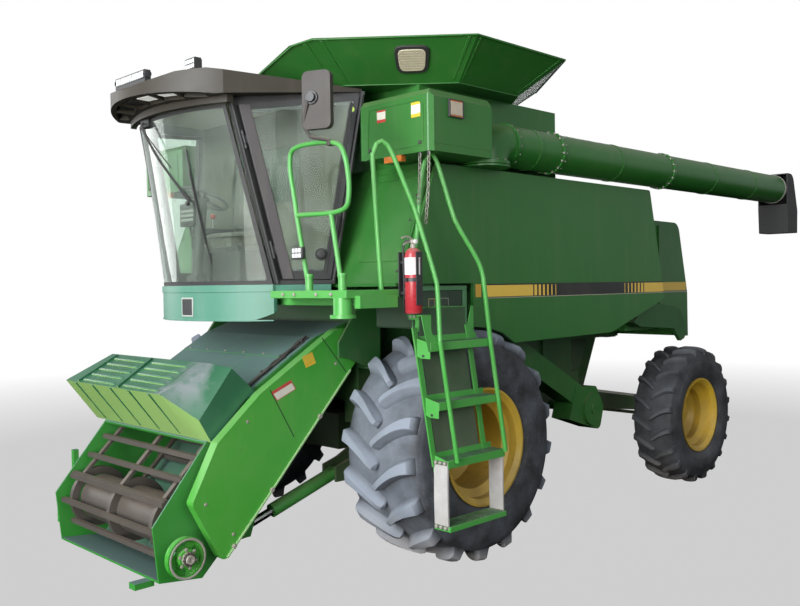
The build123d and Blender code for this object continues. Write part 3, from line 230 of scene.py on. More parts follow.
# Tyres: deep-lugged agricultural tyres, moulded black rubber that has gone grey with field dust. On the
# drive tyres that grey is blue: real dust with a painted blue cast of sky light on the tread.
# Curved bars run from the crown over the shoulder; the beads are clamped on the rims.
def smooth_line(points, per=6):
    """Catmull-Rom curve through the points, `per` steps to a span."""
    p = np.asarray(points, float)
    p = np.vstack([2 * p[0] - p[1], p, 2 * p[-1] - p[-2]])
    t = np.linspace(0, 1, per, endpoint=False)[None, :, None]
    a, b, c, d = (p[k:len(p) - 3 + k, None] for k in range(4))
    square, cube = 2 * a - 5 * b + 4 * c - d, 3 * b - a - 3 * c + d
    line = 0.5 * (2 * b + (c - a) * t + square * t ** 2 + cube * t ** 3)
    return np.vstack([line.reshape(-1, p.shape[1]), p[-2]])


def turned(shape, angle, axis=0):
    """The shape turned by an angle about one of the axes through the origin."""
    points, faces = shape
    spin = np.array(Matrix.Rotation(angle, 3, "XYZ"[axis]))
    return points @ spin.T, faces


def moved(shape, by):
    return shape[0] + np.asarray(by, float), shape[1]


def together(*shapes):
    """Several shapes as one list of points and faces."""
    points, faces, count = [], [], 0
    for more, groups in shapes:
        points.append(more)
        faces += [group + count for group in groups]
        count += len(more)
    return np.vstack(points), faces


def flipped(shape, axis=0):
    """Mirror image along an axis, with its faces turned to point outwards again."""
    points, faces = shape
    return points * np.where(np.arange(3) == axis, -1, 1), [group[:, ::-1] for group in faces]


def outward(shape):
    """A closed shape with its faces pointing out. All of them turn round if they close a negative volume."""
    points, faces = shape
    volume = sum((np.cross(points[g[:, i]], points[g[:, i + 1]]) * points[g[:, 0]]).sum()
                 for g in faces for i in range(1, g.shape[1] - 1))
    return shape if volume > 0 else (points, [g[:, ::-1] for g in faces])


def lathe(profile, count=40, axis=0):
    """Surface turned about an axis: points (a, r cos t, r sin t) for each (a, r) of a closed profile."""
    turn = np.linspace(0, 2 * math.pi, count, endpoint=False)[:, None]
    a, r = np.asarray(profile, float).T
    rows = np.stack([a + 0 * turn, r * np.cos(turn), r * np.sin(turn)], -1)
    return outward(skin(np.roll(rows, axis, axis=-1), round_rows=True))


def lug(radius, tread, depth, width, lean):
    """One bar. Its spine goes out from the crown by x(s) and back by lean (1 - (1-s)^1.55); it widens by s^2
    towards the shoulder. A flat top with rounded edges stands on flanks that hollow down to the carcass."""
    s = np.array([0, 0.03, 0.1, 0.22, 0.36, 0.5, 0.64, 0.78, 0.9, 0.97, 1.0, 1.015])[:, None]
    x = (-0.05 + 1.07 * s) * tread
    back = lean * (1 - np.clip(1 - s, 0, 1) ** 1.55)
    slope = np.gradient(back[:, 0], x[:, 0])[:, None]
    wide = width * (0.34 + 0.42 * s ** 2)
    top = radius - 0.002 - 0.030 * np.clip(x / tread, 0, 1) ** 4
    drop = np.array([0.05, 0.016, 0.002, 0, 0, 0, 0, 0, 0, 0.006, 0.030, 0.085])[:, None]
    base = radius - depth - 0.030 - 0.030 * np.clip(x / tread, 0, 1) ** 4
    across = np.array([-2.5, -1.95, -1.55, -1.22, -1.0, -0.88, -0.4, 0, 0.4, 0.88, 1.0, 1.22, 1.55, 1.95,
                       2.5])[None]
    rise = np.array([0, 0.30, 0.46, 0.76, 0.955, 1, 1, 1, 1, 1, 0.955, 0.76, 0.46, 0.30, 0])[None]
    high = base + (top - drop - base) * rise
    side = np.clip(across, -1, 1) * wide + (across - np.clip(across, -1, 1)) * width * 0.46
    norm = np.sqrt(1 + slope ** 2)
    px = np.clip(x - side * slope / norm, -0.07 * tread, 1.03 * tread)
    angle = (back + side / norm) / radius
    return skin(np.stack([px, high * np.sin(angle), high * np.cos(angle)], -1))


def tyre(radius, half, tread, rim, rim_half, bars, depth, width):
    """Carcass turned about the axle, with ribs round the side walls, and its two rows of bars."""
    crown = radius - depth
    belly = (crown + rim) / 2
    wall = smooth_line([(rim_half - 0.012, rim + 0.010), (half - 0.012, rim + 0.07), (half - 0.003, belly),
                        (half - 0.022, crown - 0.07), (tread - 0.015, crown - 0.024),
                        (tread * 0.5, crown - 0.005),
                        (0, crown)], 7)
    ribs = ((rim + 0.045, 0.004), (rim + 0.075, 0.003), (belly + 0.02, 0.003), (crown - 0.075, 0.004))
    lift = sum(size * np.exp(-((wall[:, 1] - at) / 0.006) ** 2) for at, size in ribs)
    wall[:, 0] = np.minimum(wall[:, 0] + lift * (wall[:, 0] > tread * 0.8), half)
    bead = [(rim_half - 0.092, rim - 0.040), (rim_half - 0.036, rim - 0.035), (rim_half - 0.016, rim)]
    section = np.vstack([bead, wall[:-1], (wall * (-1, 1))[::-1], (np.array(bead) * (-1, 1))[::-1]])
    carcass = lathe(section, 120)
    one = lug(radius, tread, depth, width, 0.62 * tread)
    pitch = 2 * math.pi / bars
    rights = [turned(one, -k * pitch) for k in range(bars)]
    lefts = [turned(flipped(one), -(k + 0.5) * pitch) for k in range(bars)]
    return together(carcass, *rights, *lefts)


def rubber(name, hub, reach, dust, amount):
    """Worn rubber: dark in the side walls, greyed by dust on the tread, which starts at a radius of reach."""
    p = Paint(name)
    y, z = p.at(1) - hub[1], p.at(2) - hub[2]
    out = (y * y + z * z) ** 0.5
    cloud, fine = p.noise(5, 3), p.noise(60, 3)
    tread = p.clamp((out - reach) * 14)
    film = p.clamp(tread * amount + (cloud - 0.45) * 0.9 + 0.08)
    colour = p.mix(film, (0.030, 0.031, 0.034), dust)
    earth = p.clamp((0.55 - p.at(2)) * 1.4 + (cloud - 0.5)) * tread * 0.5
    colour = p.mix(earth, colour, (0.30, 0.24, 0.17))
    colour = p.mix(p.clamp((fine - 0.60) * 4) * 0.4, colour, (0.30, 0.29, 0.27))
    return p.finish({"Base Color": colour, "Roughness": film * 0.2 + 0.62,
                     "Normal": p.relief(fine + cloud * 0.6, 0.002, 0.6), "Specular IOR Level": 0.3})


AXLE_Y = -1.680                     # the front axle; pieces are drawn with their lengths taken from it
AXLE = np.array((0, AXLE_Y, 0))


def fit(name, shape, material, body="machine", bevel=0.0, smooth=35, stands_for=()):
    """Makes one piece from its points and faces, gives it its material and puts it on its body."""
    made = mesh_of(name, shape[0] + AXLE, shape[1], material)
    made.data.shade_smooth()
    made.data.set_sharp_from_angle(angle=math.radians(smooth))
    if bevel:
        edge = made.modifiers.new("edge", "BEVEL")
        edge.width, edge.segments, edge.limit_method = bevel, 2, "ANGLE"
        edge.angle_limit = math.radians(40)
    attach(made, body)
    if stands_for:
        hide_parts(*stands_for)
    return made


HUBS = {"front_tyre_left": (1.345, 0, 0.872), "front_tyre_right": (-1.345, 0, 0.872),
        "rear_tyre_left": (1.425, 3.516, 0.702), "rear_tyre_right": (-1.425, 3.516, 0.702)}
DRIVE = tyre(radius=0.872, half=0.388, tread=0.335, rim=0.440, rim_half=0.350, bars=17, depth=0.082,
             width=0.062)
STEERED = tyre(radius=0.702, half=0.234, tread=0.205, rim=0.376, rim_half=0.200, bars=20, depth=0.040,
               width=0.034)
for name, hub in HUBS.items():
    drive = name.startswith("front")
    shape = DRIVE if drive else STEERED
    if hub[0] < 0:
        shape = flipped(shape)
    # The drive tyres' dust is blue-grey: real dust with a painted blue cast of sky light on the tread.
    reach, dust, amount = (0.755, (0.215, 0.240, 0.285), 0.85) if drive else (0.64, (0.17, 0.18, 0.20), 0.35)
    worn = rubber(name + "_rubber", AXLE + hub, reach, dust, amount)
    fit(name + "_rubber", moved(shape, hub), worn, name.replace("tyre", "wheel"), smooth=32,
        stands_for=[name])


# Wheels: pressed steel rims in yellow enamel, rubbed thin and rusting where the disc meets the rim.
# The nuts and hub caps are plated steel under the same splashes of mud.
def enamel(name, colour, chalk, dust, fade=0.35, settled=0.5, low=0.0, gloss=0.38, chips=None, high=1.3):
    """Old enamel on sheet steel. It fades towards chalk in patches, dust lies on upward faces, streaks run
    down the walls, and mud thickens below a height; chips is the colour that shows through scratches."""
    p = Paint(name)
    broad, cloud = p.noise(0.8, 3), p.noise(7, 4)
    run = p.noise(9, 3, (1, 1, 0.1))
    fine = p.noise(90, 2)
    faded = p.mix(p.clamp((broad - 0.35) * 2.2 + (cloud - 0.5) * 0.8) * fade, colour, chalk)
    lying = p.clamp(p.upward() * 1.6 - 0.5) * settled
    mud = p.clamp((high - p.at(2)) * 1.2 + (cloud - 0.5) * 1.5) * low
    streak = p.clamp((run - 0.52) * 3) * 0.16
    cover = p.clamp(lying * (cloud + 0.35) + mud + streak * (cloud + 0.2))
    mixed = p.mix(cover, faded, dust)
    if chips:
        mixed = p.mix(p.clamp((p.noise(26, 5, rough=0.7) - 0.66) * 14), mixed, chips)
    return p.finish({"Base Color": mixed, "Roughness": p.clamp(cover * 0.4 + (cloud - 0.5) * 0.18 + gloss),
                     "Normal": p.relief(fine * 0.3 + cloud, 0.0012, 0.35)})


def coat(material, *names):
    """Puts a finish on CAD nodes."""
    for name in names:
        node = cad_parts[name]
        for slot in node.material_slots:
            slot.link = "DATA"
        node.data.materials.clear()
        node.data.materials.append(material)


def around(shape, count, start=0.0, axis=0):
    """A ring of copies about an axis through the origin."""
    return together(*(turned(shape, start + 2 * math.pi * k / count, axis) for k in range(count)))


rim_yellow = enamel("rim_yellow", (0.60, 0.385, 0.030), (0.50, 0.36, 0.09), (0.20, 0.13, 0.07), fade=0.5,
                    settled=0.3, low=0.35, chips=(0.10, 0.045, 0.02), high=1.0)
coat(rim_yellow, "front_rim_left", "front_rim_right", "rear_rim_left", "rear_rim_right")
plated = enamel("plated_steel", (0.30, 0.29, 0.26), (0.22, 0.19, 0.14), (0.20, 0.15, 0.09), fade=0.7,
                gloss=0.42)
nut = lathe([(0, 0), (0, 0.020), (0.004, 0.021), (0.020, 0.021), (0.024, 0.017), (0.024, 0.0)], 6)
nut = together(nut, lathe([(0.02, 0), (0.02, 0.011), (0.034, 0.011), (0.036, 0.009), (0.036, 0)], 8))
for name, hub in HUBS.items():
    drive = name.startswith("front")
    at_disc, circle, count = (-0.098, 0.165, 10) if drive else (-0.058, 0.120, 10)
    cap_r = 0.078 if drive else 0.062
    ring = around(moved(nut, (at_disc, 0, circle)), count)
    bolts = around(moved(nut, (at_disc + 0.002, 0, circle - 0.055)), count, 0.3) if drive else ring
    cap = lathe([(at_disc, 0), (at_disc, cap_r), (at_disc + 0.07, cap_r * 0.94),
                 (at_disc + 0.085, cap_r * 0.8),
                 (at_disc + 0.092, cap_r * 0.3), (at_disc + 0.092, 0)], 36)
    shape = together(ring, bolts) if drive else ring
    if hub[0] < 0:
        shape, cap = flipped(shape), flipped(cap)
    body = name.replace("tyre", "wheel")
    fit(name.replace("tyre", "nuts"), moved(shape, hub), plated, body, smooth=40)
    if not drive:
        fit(name.replace("tyre", "hub_cap"), moved(cap, hub), rim_yellow, body, smooth=40)

# Chassis: axle, frame rails, steering parts and the lower bodies, cast or welded, and painted in the same
# green as the shields but never washed. The solids carry their shapes; only the enamel is made here.
GREEN, FADED, DUST = (0.021, 0.140, 0.020), (0.058, 0.168, 0.036), (0.24, 0.23, 0.15)
chassis_green = enamel("chassis_green", (0.018, 0.105, 0.020), (0.05, 0.12, 0.05), (0.16, 0.14, 0.10),
                       settled=0.6, low=0.35, gloss=0.5, chips=(0.07, 0.05, 0.035), high=1.6)
coat(chassis_green, "front_axle", "main_frame", "rear_axle", "knuckle_left", "knuckle_right", "tie_rod",
     "separator_body", "cleaning_shoe", "straw_chopper", "shield_brackets")


def prism(outline, axis, low, high):
    """Straight prism of a flat outline. Its corners are (y, z), (x, z) or (x, y) for an axis of 0, 1 or 2."""
    flat = np.asarray(outline, float)
    rows = [np.insert(flat, axis, depth, axis=1) for depth in (low, high)]
    return outward(skin(np.stack(rows)))


def strip_of(a, b, c, d):
    """Outline of a rectangle between the corners (a, b) and (c, d)."""
    return [(a, b), (c, b), (c, d), (a, d)]


def slab(low, high):
    """Box between two corners."""
    return prism(strip_of(*low[:2], *high[:2]), 2, low[2], high[2])


def slabs(*pairs):
    """Several boxes as one shape, each between its two corners."""
    return together(*(slab(low, high) for low, high in pairs))


def rod(points, radius, sides=12, closed=False):
    """Round bar along a line: a circle stands square to the run at each point, carried on without twist."""
    p = np.asarray(points, float)
    run = np.roll(p, -1, 0) - np.roll(p, 1, 0) if closed else np.gradient(p, axis=0)
    run /= np.linalg.norm(run, axis=1)[:, None]
    side, sides_of = np.cross(run[0], (0.31, 0.52, 0.80)), []
    for way in run:
        side = side - way * (side @ way)
        side /= np.linalg.norm(side)
        sides_of.append(side)
    first = np.stack(sides_of)[:, None]
    second = np.cross(run[:, None], first)
    turn = np.linspace(0, 2 * math.pi, sides, endpoint=False)[None, :, None]
    reach = np.broadcast_to(np.asarray(radius, float), len(p))[:, None, None]
    grid = p[:, None] + reach * (first * np.cos(turn) + second * np.sin(turn))
    return outward(skin(grid, round_rows=closed))


# Side shields and bulkhead: pressed sheet, sprayed green. The stripe is printed film laid on the sheet: a
# yellow band over a fine pale line, which breaks into bars on each side of a plain black field.
body_green = enamel("body_green", GREEN, FADED, DUST, low=0.10, settled=0.4)
coat(body_green, "side_shields", "front_bulkhead", "rear_hood", "grain_tank", "tank_wings", "tank_side_boxes",
     "auger_turret", "auger_tube", "grain_elevator", "rotary_screen")


def stripe_film(name, bands, *barred):
    """Yellow between the given stations; bars thin out from one end of each barred stretch to the other."""
    p = Paint(name)
    y, z = p.at(1) - AXLE_Y, p.at(2)
    gold = sum((y > a) * (y < b) for a, b in bands)
    for a, b, way in barred:
        step = p.sum("FRACT", (y - a) / BAR_PITCH)
        along = (y - a) / (b - a)
        duty = (0.80 - along * 0.62) if way > 0 else (along * 0.62 + 0.18)
        gold = gold + (y > a) * (y < b) * (step < duty)
    inside = (z > 1.984) * (z < 2.072)
    worn = p.noise(30, 4)
    colour = p.mix(p.clamp(gold) * inside, (0.012, 0.013, 0.012), (0.78, 0.52, 0.075))
    colour = p.mix((z < 1.9785) * 0.8, colour, (0.42, 0.42, 0.30))
    colour = p.mix(p.clamp((p.noise(3, 4) - 0.45) * 1.2) * 0.35, colour, (0.20, 0.19, 0.12))
    return p.finish({"Base Color": colour, "Roughness": worn * 0.25 + 0.25})


BAR_PITCH, FILM = 0.058, 0.0012
FLANK, TAIL_FLANK = 1.6000, 1.3000     # half widths over the side shields and over the rear hood
film = stripe_film("stripe_film", [(0.123, 0.672), (2.480, 2.9)], (0.672, 1.03, 1), (2.10, 2.480, -1))
tail_film = stripe_film("tail_stripe_film", [(2.9, 3.85)])
stripe = [(0.095, 1.972), (2.822, 1.972), (2.793, 2.083), (0.095, 2.083)]
tail = [(2.83, 1.965), (3.852, 1.965), (3.852, 2.072), (2.80, 2.072)]
for side, sign in (("left", 1), ("right", -1)):
    low, high = sorted((sign * FLANK, sign * (FLANK + FILM)))
    fit(f"stripe_{side}", prism(stripe, 0, low, high), film)
    inner, outer = sorted((sign * TAIL_FLANK, sign * (TAIL_FLANK + FILM)))
    fit(f"stripe_tail_{side}", prism(tail, 0, inner, outer), tail_film)
    square = slab((low, 0.004, 1.984), (high, 0.066, 2.082))
    badge = enamel(f"stripe_square_{side}", (0.58, 0.33, 0.030), (0.45, 0.28, 0.05), DUST, gloss=0.3)
    fit(f"stripe_square_{side}", square, badge)


# Seams of the bulkhead: three level folds on each side where its sheets overlap, an upright edge, and the
# screws that hold that edge.
def on_rake(x, z, out=0.0):
    """Point on the bulkhead's raked face at a height, raised from it."""
    share = (z - 2.098) / (2.955 - 2.098)
    return np.array((x, -0.772 + share * 0.332 - out * 0.932, z + out * 0.361))


def on_face(place, outline, low, high):
    """Prism of an outline in the (a, b) of a surface function place(a, b, out), between two heights."""
    rows = [[place(a, b, out) for a, b in outline] for out in (low, high)]
    return outward(skin(np.array(rows, float)))


seams = []
for s in (1, -1):
    for inside, low, high in ((0.98, 2.905, 2.912), (1.03, 2.850, 2.856), (1.10, 2.250, 2.262)):
        x0, x1 = sorted((s * inside, s * 1.57))
        seams.append(on_face(on_rake, strip_of(x0, low, x1, high), 0, 0.006))
for x in (-1.545, 1.545):
    seams.append(on_face(on_rake, strip_of(x - 0.006, 2.13, x + 0.006, 2.93), 0, 0.004))
fit("bulkhead_seams", together(*seams), body_green, bevel=0.002)
screw = lathe([(0, 0), (0, 0.011), (0.004, 0.010), (0.007, 0.006), (0.007, 0)], 8, 1)
screws = [moved(flipped(screw, 1), on_rake(x, z)) for z in (2.18, 2.36, 2.54, 2.72, 2.88)
          for x in (-1.52, 1.52)]
dark_metal = enamel("dark_metal", (0.030, 0.030, 0.031), (0.07, 0.07, 0.07), (0.16, 0.14, 0.11), gloss=0.5)
fit("bulkhead_screws", together(*screws), dark_metal)

# Grain tank wings: eight flared sheets bolted to the tank's ledge and to each other. Angle strips back
# the corners, a rolled bead stiffens the lip, and a work lamp sits in the sheet over the left side box.
FEET = [(1.640, -0.200), (1.640, 0.495), (1.024, 1.055), (-1.024, 1.055), (-1.640, 0.495), (-1.640, -0.200),
        (-1.024, -0.760), (1.024, -0.760)]
LIPS = [(1.970, -0.373), (1.970, 0.668), (1.125, 1.436), (-1.125, 1.436), (-1.970, 0.668), (-1.970, -0.373),
        (-1.125, -1.141), (1.125, -1.141)]
LEDGE, LIP = 3.552, 3.795


def wing_panel(k):
    """Surface function of one wing: a runs along the foot, b from foot to lip, out stands off the sheet."""
    corners = [np.array((*point, z)) for points, z in ((FEET, LEDGE), (LIPS, LIP)) for point in
               (points[k], points[(k + 1) % 8])]
    foot, foot_end, lip, lip_end = corners
    normal = np.cross(foot_end - foot, lip - foot)
    normal /= np.linalg.norm(normal)
    if normal @ np.array((*(foot + lip)[:2], 0)) < 0:
        normal = -normal

    def place(a, b, out=0.0):
        low, high = foot + (foot_end - foot) * a, lip + (lip_end - lip) * a
        return low + (high - low) * b + normal * out
    return place


angles = []
for k in range(8):
    place = wing_panel(k)
    for a, b in ((0.035, 0.055), (0.945, 0.965)):
        outline = [(a - 0.008, 0.05), (b - 0.008, 0.05), (b, 0.95), (a, 0.95)]
        angles.append(on_face(place, outline, -0.001, 0.007))
lip = [(x, y, LIP) for x, y in LIPS[:7]]
lip += [(-0.900, -1.141, LIP), (-0.240, -0.997, 3.703), (0.240, -0.997, 3.703), (0.900, -1.141, LIP),
        (*LIPS[7], LIP)]
inner = [(x * 0.9965, y * 0.9965, z - 0.007) for x, y, z in lip]
fit("wing_angles", together(*angles), body_green, bevel=0.002)
fit("wing_lip_bead", rod(inner, 0.0065, 8, closed=True), body_green)


def oval(centre, half, count=16, power=1.0):
    """Outline of an oval: half sizes times cos t and sin t, each raised to a power and keeping its sign. A
    power of 1 gives an ellipse, and a smaller one squares it off."""
    t = np.linspace(0, 2 * math.pi, count, endpoint=False)
    unit = np.stack([np.cos(t), np.sin(t)], -1)
    return np.asarray(centre) + half * (np.sign(unit) * abs(unit) ** power)


bezel, lens = (on_face(wing_panel(7), oval((0.60, 0.52), (0.120 * size, 0.285 * size), 32, 0.42), low, high)
               for size, low, high in ((1.0, -0.002, 0.016), (0.80, 0.010, 0.022)))
black_rubber = enamel("black_rubber", (0.020, 0.020, 0.020), (0.05, 0.05, 0.05), (0.12, 0.11, 0.09),
                      gloss=0.6)
fit("wing_lamp_bezel", bezel, black_rubber, bevel=0.003)


def lens_glass(name, colour, ribs=0.0, glow=0.0):
    """Moulded lens: bright plastic with fine flutes; a glow above 0 is painted light, as the lamp is not lit.
    """
    p = Paint(name)
    flute = p.sum("SINE", p.at(0) * ribs) + p.sum("SINE", p.at(2) * ribs)
    cloud = p.noise(24, 3)
    shade = tuple(c * 0.72 for c in colour)
    return p.finish({"Base Color": p.mix(cloud, colour, shade), "Roughness": cloud * 0.2 + 0.12,
                     "Normal": p.relief(flute, 0.001, 0.5), "Emission Color": colour,
                     "Emission Strength": glow})


beige_lens = lens_glass("beige_lens", (0.56, 0.50, 0.36), 500.0)
fit("wing_lamp_lens", lens, beige_lens, bevel=0.003)

# Side boxes: sheet-metal corner boxes with a lift-off front cover on two latches, a clear marker lamp in
# the left face and an amber turn lamp under the edge. The two small plates on the front are bare.
coat(lens_glass("amber_lens", (0.62, 0.17, 0.025), 420.0), "marker_lamps")
box_bits, latches = [], []
for s in (1, -1):
    front = [(s * x, z)
             for x, z in ((1.285, 3.012), (1.835, 3.012), (1.835, 3.285), (1.79, 3.318), (1.30, 3.318))]
    inner_front = [(s * x, z)
                   for x, z in ((1.292, 3.019), (1.828, 3.019), (1.828, 3.282), (1.786, 3.311),
                                (1.307, 3.311))]
    loops = ((front, -0.780), (front, -0.7835), (inner_front, -0.7835), (inner_front, -0.780))
    rows = [np.insert(np.asarray(loop, float), 1, y, axis=1) for loop, y in loops]
    box_bits.append(outward(skin(np.stack(rows), caps=False)))
    low, high = sorted((s * 1.900, s * 1.9015))
    box_bits.append(prism(strip_of(-0.755, 3.022, -0.16, 3.030), 0, low, high))
    for x in (1.31, 1.80):
        latches.append(slab((s * x - 0.012, -0.790, 3.02), (s * x + 0.012, -0.779, 3.045)))
fit("side_box_cover_edges", together(*box_bits), body_green)
fit("side_box_latches", together(*latches), dark_metal, bevel=0.003)


def blank_plate(name, sheet, colour, edge, centre, half, axis=1):
    """Bare label plate: thin sheet with a coloured border round a pale, empty field."""
    p = Paint(name + "_print")
    a = p.at(0) - centre[0] if axis == 1 else p.at(1) - centre[0] - AXLE_Y
    b = p.at(2) - centre[1]
    border = p.clamp((abs(a) > half[0]) + (abs(b) > half[1]))
    worn = p.noise(60, 3)
    shade = p.mix(border, colour, edge)
    shade = p.mix(p.clamp((worn - 0.55) * 3) * 0.4, shade, (0.30, 0.28, 0.2))
    fit(name, sheet, p.finish({"Base Color": shade, "Roughness": worn * 0.2 + 0.35}))


RED, YELLOW, PAPER = (0.45, 0.035, 0.025), (0.62, 0.42, 0.03), (0.62, 0.60, 0.52)
blank_plate("side_box_plate_red", slab((1.385, -0.7815, 3.215), (1.470, -0.7800, 3.300)), PAPER, RED,
            (1.428, 3.262), (0.1, 0.026))
blank_plate("side_box_plate_yellow", slab((1.720, -0.7815, 3.205), (1.805, -0.7800, 3.305)), PAPER, YELLOW,
            (1.762, 3.258), (0.1, 0.030))
clear_lens = lens_glass("clear_lens", (0.60, 0.52, 0.40), 600.0)
fit("side_box_lens", slab((1.9135, -0.600, 3.224), (1.9165, -0.480, 3.315)), clear_lens, bevel=0.002)
rim = slabs(((1.900, -0.612, 3.210), (1.917, -0.602, 3.328)),
            ((1.900, -0.478, 3.210), (1.917, -0.468, 3.328)),
            ((1.900, -0.612, 3.208), (1.917, -0.468, 3.216)),
            ((1.900, -0.612, 3.322), (1.917, -0.468, 3.330)))
fit("side_box_lens_rim", rim, dark_metal, bevel=0.002)


# Tie-down chains: two short lengths of round-link chain that hang from eyes under the left side box.
# Every link is an oval of 6 mm wire, and each next one stands square to the last.
def chain(top, count, pitch=0.034):
    """Hanging chain: one oval link stepped down by the pitch, every second one turned by 90 degrees."""
    link = rod(np.insert(oval((0, 0), (0.0105, 0.0215), 14), 1, 0, axis=1), 0.0032, 6, closed=True)
    quarter = turned(link, math.pi / 2, 2)
    return together(*(moved(quarter if k % 2 else link, np.asarray(top) - (0.0002 * k * k, 0, pitch * k))
                      for k in range(count)))


fit("hanging_chains", together(chain((1.780, -0.765, 2.950), 10), chain((1.862, -0.765, 2.950), 14)), plated,
    smooth=50)
eyes = [slab((x - 0.008, -0.773, 2.945), (x + 0.008, -0.757, 2.974)) for x in (1.780, 1.862)]
fit("chain_eyes", together(*eyes), dark_metal, bevel=0.002)

# Unloading tube: rolled sheet with flanged joints, swung about the turret. Every flange has its ring of
# bolts; the spout at the end is a moulded rubber boot held by a band.
bolt = lathe([(0, 0), (0, 0.010), (0.007, 0.010), (0.010, 0.006), (0.010, 0)], 6, 1)
TUBE_X, TUBE_Z, TURRET_Y = 1.620, 3.140, 0.110
bolts = []
for y, way in ((0.335, 1), (0.900, -1), (0.930, 1), (2.700, -1), (2.730, 1)):
    one = moved(bolt if way > 0 else flipped(bolt, 1), (0, 0, 0.1655))
    bolts.append(moved(around(one, 16, 0.1, 1), (TUBE_X, y, TUBE_Z)))
fit("tube_flange_bolts", together(*bolts), plated, "unloader")
band = lathe([(0, 0.1603), (0, 0.1645), (0.030, 0.1645), (0.030, 0.1603)], 64, 1)
bands = [moved(band, (TUBE_X, y, TUBE_Z)) for y in (0.60, 1.80, 3.60, 4.55)]
fit("tube_bands", together(*bands), body_green, "unloader")
coat(black_rubber, "auger_spout")
clamp = lathe([(0, 0.1603), (0, 0.1665), (0.024, 0.1665), (0.024, 0.1603)], 64, 1)
fit("spout_clamp", moved(clamp, (TUBE_X, 5.325, TUBE_Z)), plated, "unloader")
upright = moved(turned(bolt, math.pi / 2), (0.166, 0, 0))
fit("turret_bolts", moved(around(upright, 12, 0.2, 2), (TUBE_X, TURRET_Y, 2.9975)), plated, "unloader")

# Cab roof: a moulded cap in taupe plastic. Lamps look out of dark pockets under its brim, clear ones on the
# door side; on top stand a long lamp bar and a square work lamp, both with rows of small cells.
taupe = enamel("taupe_plastic", (0.030, 0.024, 0.016), (0.045, 0.037, 0.026), (0.17, 0.15, 0.11),
               settled=0.30, gloss=0.55)
coat(taupe, "cab_roof")
lamp_shell = enamel("lamp_shell", (0.022, 0.022, 0.024), (0.05, 0.05, 0.05), (0.16, 0.14, 0.11), gloss=0.45)
coat(lamp_shell, "roof_lamps")
BRIM_Y, BRIM_R = -1.950, 0.98481     # front of the brim and the radius of its arc
clears, darks, ceilings = [], [], []
for angle, foot in ((-35, 0.865), (-21, 0.815), (-7, 0.790), (7, 0.790), (21, 0.815), (35, 0.865)):
    pocket = strip_of(-0.0925, 0.0415 - BRIM_R, 0.0925, -foot - 0.0015)
    glass = strip_of(-0.072, 0.066 - BRIM_R, 0.072, -foot - 0.024)
    spin = math.radians(angle)
    place = (0, BRIM_Y + BRIM_R, 0)
    (clears if angle > 0 else darks).append(moved(turned(prism(glass, 2, 3.446, 3.4525), spin, 2), place))
    ceilings.append(moved(turned(prism(pocket, 2, 3.4955, 3.4985), spin, 2), place))
    for x in (-0.0925, 0.0895):
        wall = strip_of(x, 0.0415 - BRIM_R, x + 0.003, -foot - 0.0015)
        ceilings.append(moved(turned(prism(wall, 2, 3.458, 3.496), spin, 2), place))
fit("lamp_pocket_linings", together(*ceilings), black_rubber)
# Clear brim lenses glow at 0.45 though unlit: painted light that keeps them bright in the brim's shade.
white_lens = lens_glass("white_lens", (0.80, 0.80, 0.76), 700.0, 0.45)
fit("brim_lamp_lenses", together(*clears), white_lens, bevel=0.002)
fit("brim_lamp_blanks", together(*darks), lamp_shell, bevel=0.002)


def cells(name, across, high, low, size):
    """Face of a lamp: bright cells between dark webs, `across` of them side by side and `high` of them up."""
    p = Paint(name)
    a = p.sum("FRACT", (p.at(0) - low[0]) * (across / size[0]))
    b = p.sum("FRACT", (p.at(2) - low[1]) * (high / size[1]))
    edge = p.sum("MINIMUM", p.sum("MINIMUM", a, 1 - a), p.sum("MINIMUM", b, 1 - b))
    shine = p.clamp((edge - 0.09) * 12)
    grain = p.noise(120, 2)
    colour = p.mix(shine, (0.02, 0.02, 0.02), (0.78, 0.80, 0.80))
    return p.finish({"Base Color": p.mix(grain * 0.3, colour, (0.5, 0.5, 0.48)),
                     "Roughness": 0.30 - shine * 0.12, "Normal": p.relief(shine, 0.002, 0.7)})


fit("lamp_bar_cells", slab((-0.285, -1.8765, 3.588), (0.125, -1.873, 3.644)),
    cells("lamp_bar_face", 12, 1, (-0.285, 3.588), (0.41, 0.056)), bevel=0.001)
fit("square_lamp_cells", slab((0.413, -1.7085, 3.612), (0.527, -1.705, 3.682)),
    cells("square_lamp_face", 5, 2, (0.413, 3.612), (0.114, 0.070)), bevel=0.001)
fins = [slab((x, -1.826, 3.575), (x + 0.003, -1.815, 3.640)) for x in np.linspace(-0.28, 0.12, 26)]
fins += [slab((x, -1.654, 3.62), (x + 0.003, -1.643, 3.680)) for x in np.linspace(0.415, 0.522, 10)]
feet = [slab((x - 0.02, -1.868, 3.560), (x + 0.02, -1.832, 3.588)) for x in (-0.24, 0.08)]
fit("lamp_fins", together(*fins, *feet), lamp_shell)
bar_end = lathe([(0, 0), (0, 0.029), (0.010, 0.026), (0.012, 0)], 24)
ends = [moved(bar_end, (0.140, -1.850, 3.616)), moved(flipped(bar_end), (-0.300, -1.850, 3.616))]
fit("lamp_bar_ends", together(*ends), lamp_shell)
liner = [(-0.56, -1.44), (-0.30, -1.55), (0, -1.60), (0.30, -1.55), (0.56, -1.44), (0.90, -0.74),
         (-0.90, -0.74)]
under = [np.array([(x, y, 3.414 + (y + 1.650) * 0.0911 - drop) for x, y in liner]) for drop in (0.002, 0.016)]
felt = enamel("headliner", (0.36, 0.32, 0.20), (0.42, 0.38, 0.27), DUST, gloss=0.85)
fit("headliner", outward(skin(np.stack(under))), felt, bevel=0.005)


